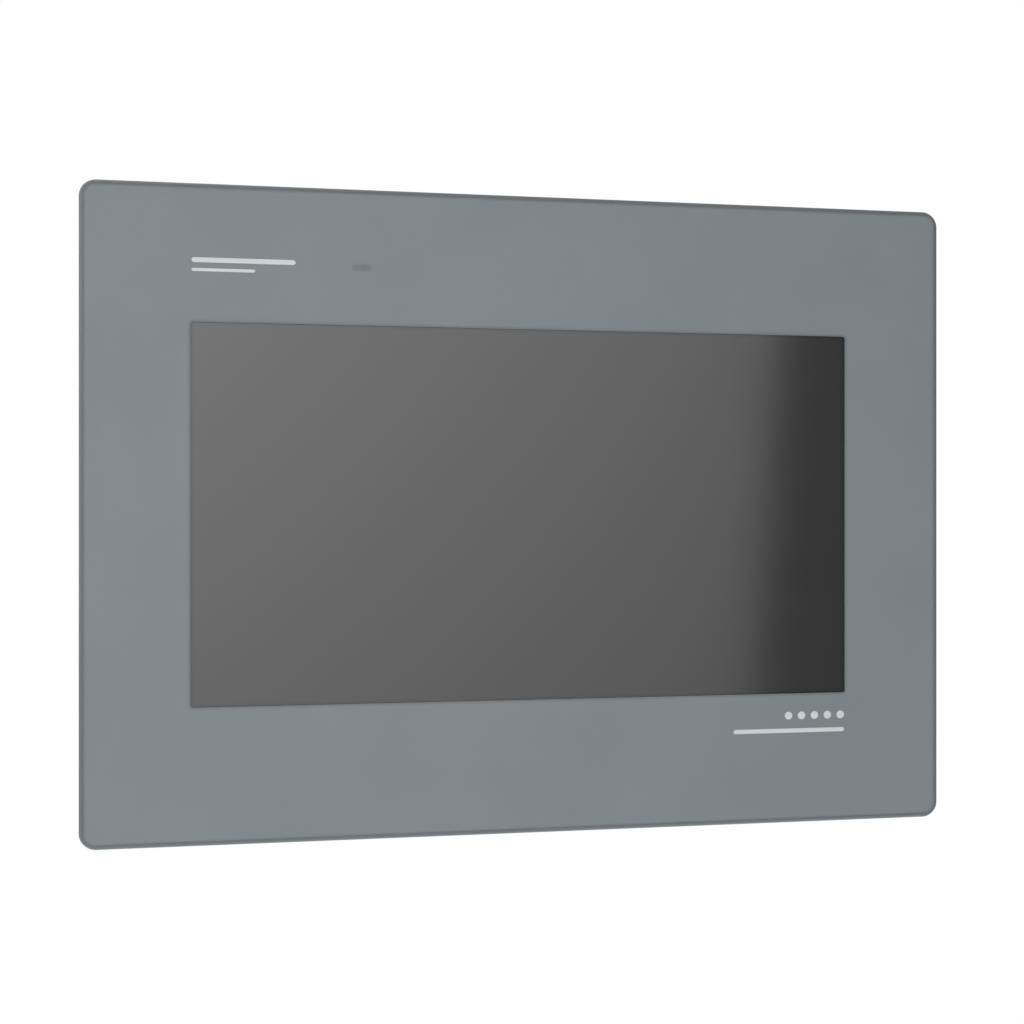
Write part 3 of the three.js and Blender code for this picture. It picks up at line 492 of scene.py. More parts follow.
# The display seen through the touch sensor: a near-black surface with an anti-glare sparkle.
def screenFinish():
    f = Finish("screen")
    toBorder = f.fromRound(screen["width"], screen["height"], screen["corner"])
    border = f.ranged(toBorder, *screen["borderBand"], smooth=True)
    f.set(Base_Color=f.mixed(border, screen["base"], screen["border"]), Roughness=f.glossOf(screen, 3),
          Specular_IOR_Level=0.5, IOR=1.5)
    f.bump(f.noise(screen["sparkle"], 2, 0.6), screen["sparkleHeight"], screen["strength"])
    return f.material


lens = dict(width=4.9 * mm, height=2.2 * mm, corner=1.1 * mm, fade=0.65 * mm, cloud=1.5 * mm,
            smoke=tint(117, 119, 124), smoke2=tint(122, 124, 129), roughness=0.45, specular=0.3,
            grain=0.5 * mm, bumps=0.002 * mm)


# The light pipe's end: smoky in the middle and fading to the film's tone at its edge.
def lensFinish():
    f = Finish("smokedLens")
    centre = turnedPart("status_light_pipe")[2]
    toEdge = f.fromRound(lens["width"], lens["height"], lens["corner"], centre)
    edge = f.ranged(toEdge, -lens["fade"], 0, smooth=True)
    smoke = f.mixed(f.ranged(f.noise(lens["cloud"], 2), *wideBand), lens["smoke"], lens["smoke2"])
    f.set(Base_Color=f.mixed(edge, smoke, film["colour"]), Roughness=lens["roughness"],
          Specular_IOR_Level=lens["specular"])
    f.bump(f.noise(lens["grain"], 2), lens["bumps"])
    return f.material


ink = dict(colour=tint(206, 210, 211), colour2=tint(216, 220, 221), wear=0.35 * mm, roughness=0.5,
           grain=0.2 * mm, height=0.003 * mm)


def printFinish():
    f = Finish("whiteInk")
    wear = f.ranged(f.noise(ink["wear"], 3, 0.7), *wideBand)
    f.set(Base_Color=f.mixed(wear, ink["colour"], ink["colour2"]), Roughness=ink["roughness"])
    f.bump(f.noise(ink["grain"], 2), ink["height"])
    return f.material


circuit = dict(mask=tint(18, 74, 44), tracks=tint(38, 112, 66), cell=9 * mm, waveLength=18 * mm,
               trackBand=(0.62, 0.7), cellBand=(0.32, 0.34), gaps=6 * mm, gapBand=(0.5, 0.53),
               gloss=1 * mm, roughness=(0.35, 0.5), height=0.03 * mm, coat=0.3, coatRoughness=0.15)


# Solder mask with copper tracks under it: lines are narrow bands of two wave patterns, broken up by cells.
def boardFinish():
    f = Finish("circuitBoard")
    waves = []
    for axis in ("X", "Z"):
        wave = f.add("ShaderNodeTexWave", Vector=f.place, Scale=1 / circuit["waveLength"], Distortion=0.0)
        wave.bands_direction = axis
        waves.append(f.ranged(wave.outputs["Fac"], *circuit["trackBand"]))
    choose = f.ranged(f.cells(circuit["cell"]), *circuit["cellBand"])
    lines = f.math("ADD", f.math("MULTIPLY", waves[0], choose),
                   f.math("MULTIPLY", waves[1], f.math("SUBTRACT", 1.0, choose)), clamp=True)
    tracks = f.math("MULTIPLY", lines, f.ranged(f.noise(circuit["gaps"], 2), *circuit["gapBand"]))
    f.set(Base_Color=f.mixed(tracks, circuit["mask"], circuit["tracks"]), Roughness=f.glossOf(circuit, 3),
          Coat_Weight=circuit["coat"], Coat_Roughness=circuit["coatRoughness"])
    f.bump(tracks, circuit["height"])
    return f.material


flex = dict(base=tint(176, 112, 38), strip=tint(206, 142, 66), halfPitch=0.25 * mm,
            stripBand=(0.1 * mm, 0.13 * mm), roughness=0.28, coat=0.3, coatRoughness=0.1, height=0.015 * mm)


# Amber flat cable with copper strips along it: bands across the width in X.
def flexFinish():
    f = Finish("flexCable")
    copper = f.ranged(f.math("PINGPONG", f.split()[0], flex["halfPitch"]), *flex["stripBand"])
    f.set(Base_Color=f.mixed(copper, flex["base"], flex["strip"]), Roughness=flex["roughness"],
          Coat_Weight=flex["coat"], Coat_Roughness=flex["coatRoughness"])
    f.bump(copper, flex["height"])
    return f.material


label = dict(x=0.0, z=17.0 * mm, width=64 * mm, height=26 * mm, margin=1.6 * mm, rule=3.8 * mm,
             upright=12 * mm, line=0.12 * mm, soft=1.4, foil=tint(196, 199, 200), foil2=tint(210, 212, 212),
             ink=tint(60, 62, 64), metallic=0.35, roughness=(0.35, 0.5), streak=0.3 * mm,
             stretch=(0.05, 1, 1), bumps=0.004 * mm)


# A blank type plate: brushed foil with a printed frame, two rules and one upright, and no lettering. The ink
# lies where the distance to the nearest line is less than the line's half width.
def labelFinish():
    f = Finish("labelFoil")
    x, _, z = f.split()
    u, v = f.math("SUBTRACT", x, label["x"]), f.math("SUBTRACT", z, label["z"])
    fromSide = f.math("SUBTRACT", label["width"] / 2 - label["margin"], f.math("ABSOLUTE", u))
    fromTop = f.math("SUBTRACT", label["height"] / 2 - label["margin"], f.math("ABSOLUTE", v))
    toFrame = f.math("MINIMUM", fromSide, fromTop)
    rules = f.awayFrom(f.math("ABSOLUTE", v), label["rule"])
    upright = f.awayFrom(u, label["upright"])
    nearest = f.math("MINIMUM", f.math("ABSOLUTE", toFrame), f.math("MINIMUM", rules, upright))
    inside = f.ranged(toFrame, -label["line"], 0)
    mark = f.math("MULTIPLY", f.ranged(nearest, label["line"], label["line"] * label["soft"], 1, 0), inside)
    streak = f.noise(label["streak"], 3, 0.6, f.stretched(label["stretch"]))
    foil = f.mixed(f.ranged(streak, *wideBand), label["foil"], label["foil2"])
    f.set(Base_Color=f.mixed(mark, foil, label["ink"]), Metallic=label["metallic"],
          Roughness=f.ranged(streak, *wideBand, *label["roughness"]))
    f.bump(streak, label["bumps"])
    return f.material


finishes |= {"film": filmFinish(), "slateRim": rimFinish(), "screen": screenFinish(), "lens": lensFinish(),
             "ink": printFinish(), "board": boardFinish(), "flex": flexFinish(), "label": labelFinish()}
print("finishes:", len(finishes))

polish("bezel_frame", ["slateRim"], bevel=0.06 * mm, sharp=40)


# The film fills its pocket up to a hair line, and its face lies a little lower than the print on it.
def filmShape(points):
    for axis, growFrom in zip((0, 2), film["growFrom"]):
        outer = np.abs(points[:, axis]) > growFrom
        points[outer, axis] += np.sign(points[outer, axis]) * film["grow"]
    points[points[:, 1] < cadBox[0].y + film["face"], 1] += film["sink"]
    return points


# Several CAD pieces, each with one finish and a bevel in millimetres.
def polishAll(*rows):
    for node, finish, bevel in rows:
        polish(node, [finish], bevel=bevel * mm)


polish("front_overlay", ["film"], bevel=0.0, reshape=filmShape)
polishAll(("touch_sensor", "screen", 0.1), ("touch_gasket", "foam", 0.12), ("lcd_frame", "steelSheet", 0.12),
          ("lcd_panel", "blackMoulding", 0.1), ("backlight_unit", "whiteMoulding", 0.2),
          ("lcd_tail", "flex", 0), ("touch_tail", "flex", 0))

# Half the section in millimetres, as rows (across, along Y) from the foot to the lip and down to the valley.
gasket = dict(half=1.4 * mm, corner=2.4 * mm, valley=-0.75,
              side=[(1.4, -2.1), (1.4, -1.0), (1.28, -0.4), (1.05, -0.08), (0.8, 0.0), (0.58, -0.1),
                    (0.36, -0.5)])


# The sealing ring: a foot that fills the groove and two lips, carried round a round rectangle.
def sealingRing():
    low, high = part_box("panel_gasket")
    width, height = high.x - low.x - 2 * gasket["half"], high.z - low.z - 2 * gasket["half"]
    side = np.array(gasket["side"])
    profile = np.concatenate([side, [[0.0, gasket["valley"]]], side[::-1] * [-1, 1]]) * mm
    rows = [(width + 2 * t, height + 2 * t, gasket["corner"] + t, y) for t, y in profile]
    addPiece("sealing_ring", [gridSkin(loopGrid(rows, steps=10), closeRows=True)], ["gasketRubber"],
             stands="panel_gasket", sharp=50)


sealingRing()

lamp = dict(width=4.89 * mm, height=2.19 * mm, dome=0.02 * mm, domeCurve=0.6, rimRound=0.03 * mm,
            collarWidth=6.5 * mm, collarHeight=3.8 * mm, collarFrom=-0.95 * mm, collarTo=0.2 * mm)


# The light pipe: a stadium section whose front swells by a small dome, with a collar and a plain stem. The
# dome falls by dome * (inset / half height) ^ curve.
def lightPipe():
    low, high, centre, _ = turnedPart("status_light_pipe")
    width, height = lamp["width"], lamp["height"]
    wide, tall = lamp["collarWidth"], lamp["collarHeight"]
    inset = np.linspace(1, 0, 9)[:-1] * height / 2
    dome = low.y + lamp["dome"] - lamp["dome"] * (inset / (height / 2)) ** lamp["domeCurve"]
    front = [(width - 2 * i, height - 2 * i, height / 2 - i, y) for i, y in zip(inset, dome)]
    stem = [(width, height, height / 2, y) for y in (low.y + lamp["rimRound"], lamp["collarFrom"])]
    collar = [(wide, tall, tall / 2, y) for y in (lamp["collarFrom"], lamp["collarTo"])]
    rear = [(width, height, height / 2, y) for y in (lamp["collarTo"], high.y)]
    end = [(width - height, 1e-9, 0.0, high.y)]
    addPiece("light_pipe", [gridSkin(loopGrid(front + stem + collar + rear + end, centre), False)],
             ["lens"], stands="status_light_pipe")


lightPipe()

# The two printed marks: bars are (length, height, rise over the mark's level, corner radius).
marks = dict(left=-77.3 * mm, top=56.4 * mm, right=77.3 * mm, low=-48.6 * mm, dots=5, dot=1.9 * mm,
             dotCorner=0.49, pitch=3.3 * mm, longBar=(23 * mm, 1.1 * mm, 0.8 * mm, 0.54 * mm),
             shortBar=(14 * mm, 0.7 * mm, -1.4 * mm, 0.34 * mm),
             line=(28 * mm, 1.0 * mm, -3.6 * mm, 0.49 * mm))


# A plain printed shape in place of a name: a round rectangle as thick as the film's face lies low.
def printedBar(centre, width, height, radius):
    front, back = cadBox[0].y, cadBox[0].y + film["sink"]
    rows = [(width, height, radius, back), (width, height, radius, front)]
    return gridSkin(loopGrid(rows, centre, 4), capped=True)


# A bar that starts at x and runs to the right (side 1) or to the left (side -1), a rise over the level z.
def barFrom(x, z, side, bar):
    length, height, rise, radius = bar
    return printedBar((x + side * length / 2, z + rise), length, height, radius)


def frontMarks():
    bars = [barFrom(marks["left"], marks["top"], 1, marks[name]) for name in ("longBar", "shortBar")]
    addPiece("upper_print", bars, ["ink"])
    right, low, dot = marks["right"], marks["low"], marks["dot"]
    places = right - dot / 2 - np.arange(marks["dots"]) * marks["pitch"]
    dots = [printedBar((float(x), low), dot, dot, dot * marks["dotCorner"]) for x in places]
    addPiece("lower_print", dots + [barFrom(right, low, -1, marks["line"])], ["ink"])


frontMarks()
print("front done")

screwLooks = {
    "clamp_screw": dict(shank=1.95, tip=1.45, tipEnd=9.45, headHeight=2.6, pitch=0.7, depth=0.34, sides=64,
                        cross=(4.6, 0.95), slot=(6.2, 0.8), recess=1.5),
    "case_screw": dict(shank=1.45, tip=0.9, tipEnd=2.4, headHeight=1.85, pitch=0.9, depth=0.3, sides=48,
                       cross=(3.6, 0.8), slot=None, recess=1.2),
    "board_screw": dict(shank=1.25, tip=1.1, tipEnd=9.4, headHeight=1.95, pitch=0.5, depth=0.22, sides=48,
                        cross=(3.6, 0.75), slot=None, recess=1.2),
    "plug_screw": dict(shank=1.2, tip=1.1, tipEnd=24.2, headHeight=1.8, pitch=0.5, depth=0.2, sides=40,
                       cross=(2.4, 0.6), slot=(3.4, 0.55), recess=1.0),
    "chassis_screw": dict(shank=1.1, tip=0.7, tipEnd=-0.6, headHeight=1.6, pitch=0.8, depth=0.2, sides=40,
                          cross=(2.8, 0.7), slot=None, recess=0.9),
}


# What all screws share: the tip's chamfer and width, the rows in one turn of thread, where the thread stops
# and has faded out below the head, the neck, the head's chamfer, its round edge as a share of its height, and
# the rings of its face.
turning = dict(lead=0.25 * mm, tipShare=0.75, rowsPerTurn=8, threadStop=0.4 * mm, fadeStop=0.5 * mm,
               neck=0.3 * mm, chamfer=0.12 * mm, roundShare=0.42, faceRings=26)
drive = dict(soft=0.1 * mm, taper=0.45, slotShare=0.5)


# A screw along Y, as one surface from the tip's middle to the head's middle. The thread's radius is the
# shank's less depth times a triangle wave of (turns along - turns about), and it fades at both ends. The
# drive is sunk where the point lies in the cross.
def screwSkin(look, centre, low, high, headRadius):
    size = {k: v * mm for k, v in look.items() if isinstance(v, (int, float)) and k != "sides"}
    sides, headLow, threadLow = look["sides"], high - size["headHeight"], size["tipEnd"]
    lead, chamfer = turning["lead"], turning["chamfer"]
    tip = [(0, low), (size["tip"] * turning["tipShare"], low), (size["tip"], low + lead),
           (size["tip"], threadLow - lead)]
    threadY = np.arange(threadLow, headLow - turning["threadStop"], size["pitch"] / turning["rowsPerTurn"])
    start = smoothStep((threadY - threadLow) / size["pitch"])
    fade = start * smoothStep((headLow - turning["fadeStop"] - threadY) / size["pitch"])
    core = [(size["shank"] - size["depth"], y) for y in (headLow - turning["neck"], headLow)]
    rim = [(headRadius - chamfer, headLow), (headRadius, headLow + chamfer)]
    rounding = turning["roundShare"] * size["headHeight"]
    edge = roundedEdge(headRadius, high - chamfer, rounding, 7)
    top = np.linspace(headRadius - rounding, 0, turning["faceRings"])[1:]
    face = np.c_[top, high - chamfer * (top / headRadius) ** 2]
    thread = np.c_[np.full(len(threadY), size["shank"]), threadY]
    rows = np.concatenate([tip, thread, core, rim, edge, face])
    plain = np.zeros(len(rows) - len(tip) - len(threadY))
    depth = np.concatenate([np.zeros(len(tip)), fade * size["depth"], plain])
    grid = turnedGrid(rows, (0, 0), "y", sides)
    turns = rows[:, 1:2] / size["pitch"] - np.arange(sides)[None] / sides
    wave = np.abs((turns % 1) * 2 - 1)
    grid[..., ::2] *= (1 - depth[:, None] * wave / np.maximum(rows[:, :1], 1e-9))[..., None]
    grid[-len(top):, :, 1] -= driveDepth(grid[-len(top):], look) * size["recess"]
    return gridSkin(grid + [centre[0], 0, centre[1]])


# How far a drive's recess is sunk at each point, from 0 to 1: each arm is a bar with soft sides, and the
# cross is the deeper the nearer the middle.
def driveDepth(grid, look):
    x, z = np.abs(grid[..., 0]), np.abs(grid[..., 2])
    soft = drive["soft"]

    def arm(a, b, length, width):
        return smoothStep((length / 2 * mm - a) / soft) * smoothStep((width / 2 * mm + soft / 2 - b) / soft)

    length, width = look["cross"]
    cross = np.maximum(arm(x, z, length, width), arm(z, x, length, width))
    cross = cross * (1 - drive["taper"] * np.hypot(x, z) / (length / 2 * mm))
    if look["slot"]:
        cross = np.maximum(cross, drive["slotShare"] * arm(z, x, *look["slot"]))
    return np.clip(cross, 0, 1)


def addScrew(kind, name, centre, low, high, headRadius, body, stands=()):
    skin = screwSkin(screwLooks[kind], centre, low, high, headRadius)
    piece = addPiece(name, [skin], ["zincPlate"], body, stands, sharp=38)
    # each point's distance from the screw's axis, once its seams are merged, for the rings of its finish
    points = np.zeros(len(piece.data.vertices) * 3)
    piece.data.vertices.foreach_get("co", points)
    points = points.reshape(-1, 3)
    radius = np.hypot(points[:, 0] - centre[0], points[:, 2] - centre[1])
    ownRadius = piece.data.attributes.new("ownRadius", "FLOAT", "POINT")
    ownRadius.data.foreach_set("value", radius.astype(np.float32))


def addCadScrew(kind, node):
    low, high, centre, radius = turnedPart(node)
    addScrew(kind, node + "_threaded", centre, low.y, high.y, radius, bodyOf[node], node)


# A part turned about the axis of the CAD piece that it stands for.
def addTurned(name, node, rows, finish, sides=48, sharp=sharpAngle):
    skin = gridSkin(turnedGrid(rows, turnedPart(node)[2], "y", sides))
    addPiece(name, [skin], [finish], bodyOf[node], node, sharp)


chassisScrews = dict(x=86 * mm, z=25 * mm, low=-1.4 * mm, high=4.9 * mm, headRadius=2.2 * mm)

for node in sorted(bodyOf):
    for kind in screwLooks:
        if node.startswith(kind):
            addCadScrew(kind, node)
for k, (i, j) in enumerate(corners.values()):
    addScrew("chassis_screw", f"chassis_screw_{k + 1}", (i * chassisScrews["x"], j * chassisScrews["z"]),
             chassisScrews["low"], chassisScrews["high"], chassisScrews["headRadius"], "panel")
print("screws done")

polish("rear_case", ["caseTexture"], bevel=0.22 * mm)
polish("rating_label", ["label"], bevel=0.0)
for where in corners:
    polish(f"clamp_body_{where}", ["castZinc"], bevel=0.35 * mm, segments=3)

pad = dict(round=0.5 * mm, dish=0.12 * mm, dishShare=0.55, rimShare=0.68, chamfer=0.3 * mm,
           socket=1.7 * mm, socketTop=1.75 * mm, socketLip=0.1 * mm, floor=0.8 * mm)


# The pad: a turned cup with a round edge and a shallow dish in its pressing face.
def clampPad(node):
    low, high, _, radius = turnedPart(node)
    bend = np.linspace(0, math.pi / 2, 7)
    edge = np.c_[radius - pad["round"] * (1 - np.sin(bend)), low.y + pad["round"] * (1 - np.cos(bend))]
    dish, floor = low.y + pad["dish"], low.y + pad["floor"]
    front = [(0, dish), (radius * pad["dishShare"], dish), (radius * pad["rimShare"], low.y)]
    back = [(radius, high.y - pad["chamfer"]), (radius - pad["chamfer"], high.y), (pad["socketTop"], high.y),
            (pad["socket"], high.y - pad["socketLip"]), (pad["socket"], floor), (0, floor)]
    rows = np.concatenate([front, edge, back])
    addTurned(node + "_turned", node, rows, "blackMoulding", sharp=40)


for where in corners:
    clampPad(f"clamp_pad_{where}")
print("case and clamps done")

# A modular jack's contacts: the wire is (Y, Z) in millimetres, and its rise starts over the mouth's floor.
jack = dict(contacts=8, pitch=1.02 * mm, width=0.45 * mm, thick=0.18 * mm, rise=[(19.75, 1.6), (19.8, 3.4)],
            wire=[(22.7, -19.0), (22.9, -16.6), (22.9, -15.6)])


# Spring contacts of a modular jack: a strip bent from the mouth's floor up into the room, repeated across it.
def jackContacts(name, node):
    low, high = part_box(node)
    rise = [(y * mm, low.z + z * mm) for y, z in jack["rise"]]
    line = softened(rise + [(y * mm, z * mm) for y, z in jack["wire"]])
    one = stripSkin(line, jack["width"], jack["thick"], (low.x + high.x) / 2)
    across = (np.arange(jack["contacts"]) - (jack["contacts"] - 1) / 2) * jack["pitch"]
    addPiece(name, [repeatSkin(one, np.c_[across, 0 * across, 0 * across])], ["gold"])


tongue = dict(rise=0.4, lead=0.8 * mm)


# Flat contacts on a tongue, each with a lead-in over its first stretch.
def flatContacts(name, xs, y, low, high, width, thick):
    raised = y + thick * tongue["rise"]
    line = softened([(y, low), (raised, low + tongue["lead"]), (raised, high)])
    one = stripSkin(line, width, thick)
    addPiece(name, [repeatSkin(one, np.c_[xs, 0 * xs, 0 * xs])], ["gold"])


# True for each face centre within a box given by its low and high corners in millimetres.
def within(low, high):
    return lambda centres: np.all((centres > np.array(low) * mm) & (centres < np.array(high) * mm), axis=1)


polish("ethernet_jack", ["nickelSheet", "blackMoulding"], bevel=0.14 * mm,
       pick=within((51.5, 19, -29.9), (64.5, 29, -12)))
polish("serial_jack", ["blackMoulding"], bevel=0.14 * mm)
jackContacts("ethernet_contacts", "ethernet_jack")
jackContacts("serial_jack_contacts", "serial_jack")
polish("usb_host_port", ["nickelSheet", "whiteMoulding"], bevel=0.1 * mm,
       pick=within((-31.8, 18.1, -99), (-20.2, 20.1, 99)))
polish("usb_device_port", ["nickelSheet", "blackMoulding"], bevel=0.08 * mm,
       pick=within((-42.6, 18.7, -99), (-37.4, 19.6, 99)))
hostContacts = (np.array([-3.5, -1.0, 1.0, 3.5]) - 26) * mm
deviceContacts = (np.arange(-2, 3) * 0.8 - 40) * mm
flatContacts("usb_host_contacts", hostContacts, 20.04 * mm, -28.2 * mm, -17.6 * mm, 1.0 * mm, 0.14 * mm)
flatContacts("usb_device_contacts", deviceContacts, 19.54 * mm, -28.4 * mm, -21.8 * mm, 0.35 * mm, 0.1 * mm)
polish("serial_port_shell", ["nickelSheet"], bevel=0.12 * mm, segments=3)
polish("serial_port_body", ["blackMoulding"], bevel=0.1 * mm)

pins = dict(radius=0.53 * mm, tip=-35.4 * mm, foot=-30.9 * mm, pitch=2.77 * mm, row=1.42 * mm)


# Round-nosed pins in rows of five and four: a turned profile that ends in a quarter circle.
def serialPins():
    low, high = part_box("serial_port_shell")
    x, y = (low.x + high.x) / 2, (low.y + high.y) / 2
    bend = np.linspace(0, math.pi / 2, 6)
    nose = np.c_[pins["radius"] * np.sin(bend), pins["tip"] + pins["radius"] * (1 - np.cos(bend))]
    rows = np.concatenate([nose, [(pins["radius"], pins["foot"]), (0, pins["foot"])]])
    one = gridSkin(turnedGrid(rows, (0, 0), "z", 20))
    near = np.arange(-2, 3) * pins["pitch"]
    far = (np.arange(4) - 1.5) * pins["pitch"]
    places = np.concatenate([np.c_[near + x, 0 * near + y + pins["row"], 0 * near],
                             np.c_[far + x, 0 * far + y - pins["row"], 0 * far]])
    addPiece("serial_port_pins", [repeatSkin(one, places)], ["gold"])


serialPins()
for side in ("left", "right"):
    polish(f"jack_screw_{side}", ["zincPlate"], bevel=0.16 * mm, sharp=45)
polish("power_header", ["greenMoulding", "tin"], bevel=0.18 * mm,
       pick=within((-66, 22.8, -99), (-54, 24.0, -20.65)))
polish("power_plug", ["greenMoulding"], bevel=0.3 * mm, segments=3)
for n in (1, 2, 3):
    polish(f"plug_cage_{n}", ["brassPlate"], bevel=0.12 * mm)
print("sockets done")

polishAll(("chassis_plate", "steelSheet", 0.12), ("main_board", "board", 0.08),
          ("processor_chip", "epoxy", 0.2), ("memory_chip", "epoxy", 0.15),
          ("power_inductor", "ferrite", 0.7), ("coin_cell_holder", "blackMoulding", 0.25))

legs = dict(out=1.2 * mm, thick=0.15 * mm, margin=1.2 * mm, top=0.8 * mm, solder=0.1 * mm, knee=0.4 * mm,
            ankle=0.6 * mm, widthShare=0.45)


# Gull-wing legs along one side of a chip: a strip bent out and down to the board, repeated at the pitch.
def chipLegs(name, node, pitch, sidesWithLegs):
    low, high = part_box(node)
    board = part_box("main_board")[1].y
    shoulder, foot = board + legs["top"], board + legs["solder"]
    line = softened([(shoulder, 0), (shoulder, legs["knee"]), (foot, legs["ankle"]), (foot, legs["out"])], 2)
    points, faces, numbers = stripSkin(line, pitch * legs["widthShare"], legs["thick"])
    skins = []
    for axis, sign in sidesWithLegs:
        across, along = (0, 2) if axis == "z" else (2, 0)
        edge = (high if sign > 0 else low)["xyz".index(axis)]
        middle = (low[across] + high[across]) / 2
        count = int((high[across] - low[across] - legs["margin"]) / pitch)
        turned = np.zeros_like(points)
        turned[:, [across, 1]] = points[:, :2]
        turned[:, along] = points[:, 2] * sign + edge
        places = np.zeros((count, 3))
        places[:, across] = middle + (np.arange(count) - (count - 1) / 2) * pitch
        skins.append(repeatSkin((turned, faces, numbers), places))
    addPiece(name, skins, ["tin"])


chipLegs("processor_legs", "processor_chip", 0.5 * mm, [("x", 1), ("x", -1), ("z", 1), ("z", -1)])
chipLegs("memory_legs", "memory_chip", 0.8 * mm, [("z", 1), ("z", -1)])

smallParts = dict(count=150, seed=7, length=1.6 * mm, width=0.8 * mm, height=0.55 * mm, bodyShare=0.6,
                  xs=(-74, 75, 3.1), zs=(-8, 57, 2.6), clearX=2.6 * mm, clearZ=2.2 * mm,
                  keepOff=["processor_chip", "memory_chip", "power_inductor", "supply_capacitor",
                           "coin_cell_holder", "buzzer", "serial_port_body", "ethernet_jack", "serial_jack"]
                  + [f"board_screw_{n}" for n in (1, 2, 3, 4)])


# Small surface parts on the board's rear: one body with two tinned ends, set on a grid of free places, whose
# columns and rows are (first, last, step) in millimetres.
def boardParts():
    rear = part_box("main_board")[1].y
    half, w, h = smallParts["length"] / 2, smallParts["width"] / 2, smallParts["height"]
    inner = half * smallParts["bodyShare"]
    one = joinSkins([blockSkin((-inner, rear, -w), (inner, rear + h, w), 0),
                     blockSkin((-half, rear, -w), (-inner, rear + h, w), 1),
                     blockSkin((inner, rear, -w), (half, rear + h, w), 1)])
    xs, zs = np.meshgrid(np.arange(*smallParts["xs"]), np.arange(*smallParts["zs"]))
    places = np.stack([xs.ravel() * mm, zs.ravel() * mm], -1)
    clear = np.array([smallParts["clearX"], smallParts["clearZ"]])
    free = np.ones(len(places), bool)
    for node in smallParts["keepOff"]:
        low, high = (np.array([corner.x, corner.z]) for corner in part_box(node))
        free &= ~np.all((places > low - clear) & (places < high + clear), axis=1)
    chosen = np.random.default_rng(smallParts["seed"]).permutation(places[free])[:smallParts["count"]]
    offsets = np.c_[chosen[:, 0], 0 * chosen[:, 0], chosen[:, 1]]
    # every other part first and then the rest
    halves = [repeatSkin(one, offsets[start::2]) for start in (0, 1)]
    addPiece("board_parts", halves, ["ceramic", "tin"])


boardParts()

# The capacitor's foot, the groove's three heights over it and its share of the radius, the rolled edge, and
# the lid's scored cross and sunk middle.
can = dict(footShare=0.86, chamfer=0.3 * mm, groove=(1.6 * mm, 2.0 * mm, 2.4 * mm), grooveShare=0.93,
           roll=0.7 * mm, score=0.25 * mm, scoreWidth=0.35 * mm, scoreShare=0.7, sink=0.12 * mm,
           sinkShare=0.8, sinkEdge=0.3 * mm)


# A radial capacitor: sleeve with a rolled groove, and a flat end with a scored cross.
def supplyCapacitor():
    low, high, centre, radius = turnedPart("supply_capacitor")
    grooveLow, grooveMiddle, grooveHigh = (low.y + y for y in can["groove"])
    foot = [(0, low.y), (radius * can["footShare"], low.y), (radius, low.y + can["chamfer"]),
            (radius, grooveLow), (radius * can["grooveShare"], grooveMiddle), (radius, grooveHigh)]
    rows = np.concatenate([foot, roundedEdge(radius, high.y, can["roll"], 6)])
    sleeve = gridSkin(turnedGrid(rows, centre, "y", 48))
    rings = np.linspace(radius - can["roll"], 0, 20)
    grid = turnedGrid(np.c_[rings, np.full(20, high.y)], (0, 0), "y", 48)
    x, z = np.abs(grid[..., 0]), np.abs(grid[..., 2])
    fromMiddle = np.hypot(x, z)
    cross = (1 - smoothStep(np.minimum(x, z) / can["scoreWidth"])) * (fromMiddle < radius * can["scoreShare"])
    sunk = smoothStep((radius * can["sinkShare"] - fromMiddle) / can["sinkEdge"])
    grid[..., 1] -= can["score"] * cross + can["sink"] * sunk
    lid = gridSkin(grid + [centre[0], 0, centre[1]], finish=1)
    addPiece("supply_capacitor_can", [sleeve, lid], ["sleeve", "tin"],
             stands="supply_capacitor")


supplyCapacitor()

coin = dict(round=0.35 * mm, footIn=1.6 * mm, step=1.3 * mm, lip=0.2 * mm, stepHeight=0.5 * mm,
            wall=0.8 * mm, faceShare=0.8, recessShare=0.78, recess=0.08 * mm)


# A coin cell: a negative cap under a can with a rolled edge and a face that is slightly sunk.
def coinCell():
    low, high, _, radius = turnedPart("coin_cell")
    step, face = low.y + coin["stepHeight"], high.y - coin["recess"]
    foot = [(0, low.y), (radius - coin["footIn"], low.y), (radius - coin["step"], step),
            (radius - coin["lip"], step), (radius, low.y + coin["wall"])]
    middle = [(radius * coin["faceShare"], high.y), (radius * coin["recessShare"], face), (0, face)]
    rows = np.concatenate([foot, roundedEdge(radius, high.y, coin["round"], 5), middle])
    addTurned("coin_cell_can", "coin_cell", rows, "steelSheet", sides=64)


buzzer = dict(chamfer=0.3 * mm, edge=0.5 * mm, edgeMiddle=0.15 * mm, hole=1.1 * mm, holeEdge=1.35 * mm,
              holeChamfer=0.2 * mm, holeDepth=1.5 * mm)


# The buzzer: a plain can with a round edge and a sound hole in its middle.
def buzzerCan():
    low, high, _, radius = turnedPart("buzzer")
    top, floor = high.y, high.y - buzzer["holeDepth"]
    rows = [(0, low.y), (radius - buzzer["chamfer"], low.y), (radius, low.y + buzzer["chamfer"]),
            (radius, top - buzzer["edge"]), (radius - buzzer["edgeMiddle"], top - buzzer["edgeMiddle"]),
            (radius - buzzer["edge"], top), (buzzer["holeEdge"], top),
            (buzzer["hole"], top - buzzer["holeChamfer"]), (buzzer["hole"], floor), (0, floor)]
    addTurned("buzzer_can", "buzzer", rows, "blackMoulding")


coinCell()
buzzerCan()
print("inside done")

studio = dict(floorDrop=0.40, floorRadius=0.85, sky=0.18, backdrop=1.0, floorGlow=0.45)


# A mesh of the studio, which isn't part of the panel.
def stageMesh(mesh, material):
    staged = bpy.data.objects.new(mesh.name, mesh)
    bpy.context.scene.collection.objects.link(staged)
    mesh.materials.append(material)


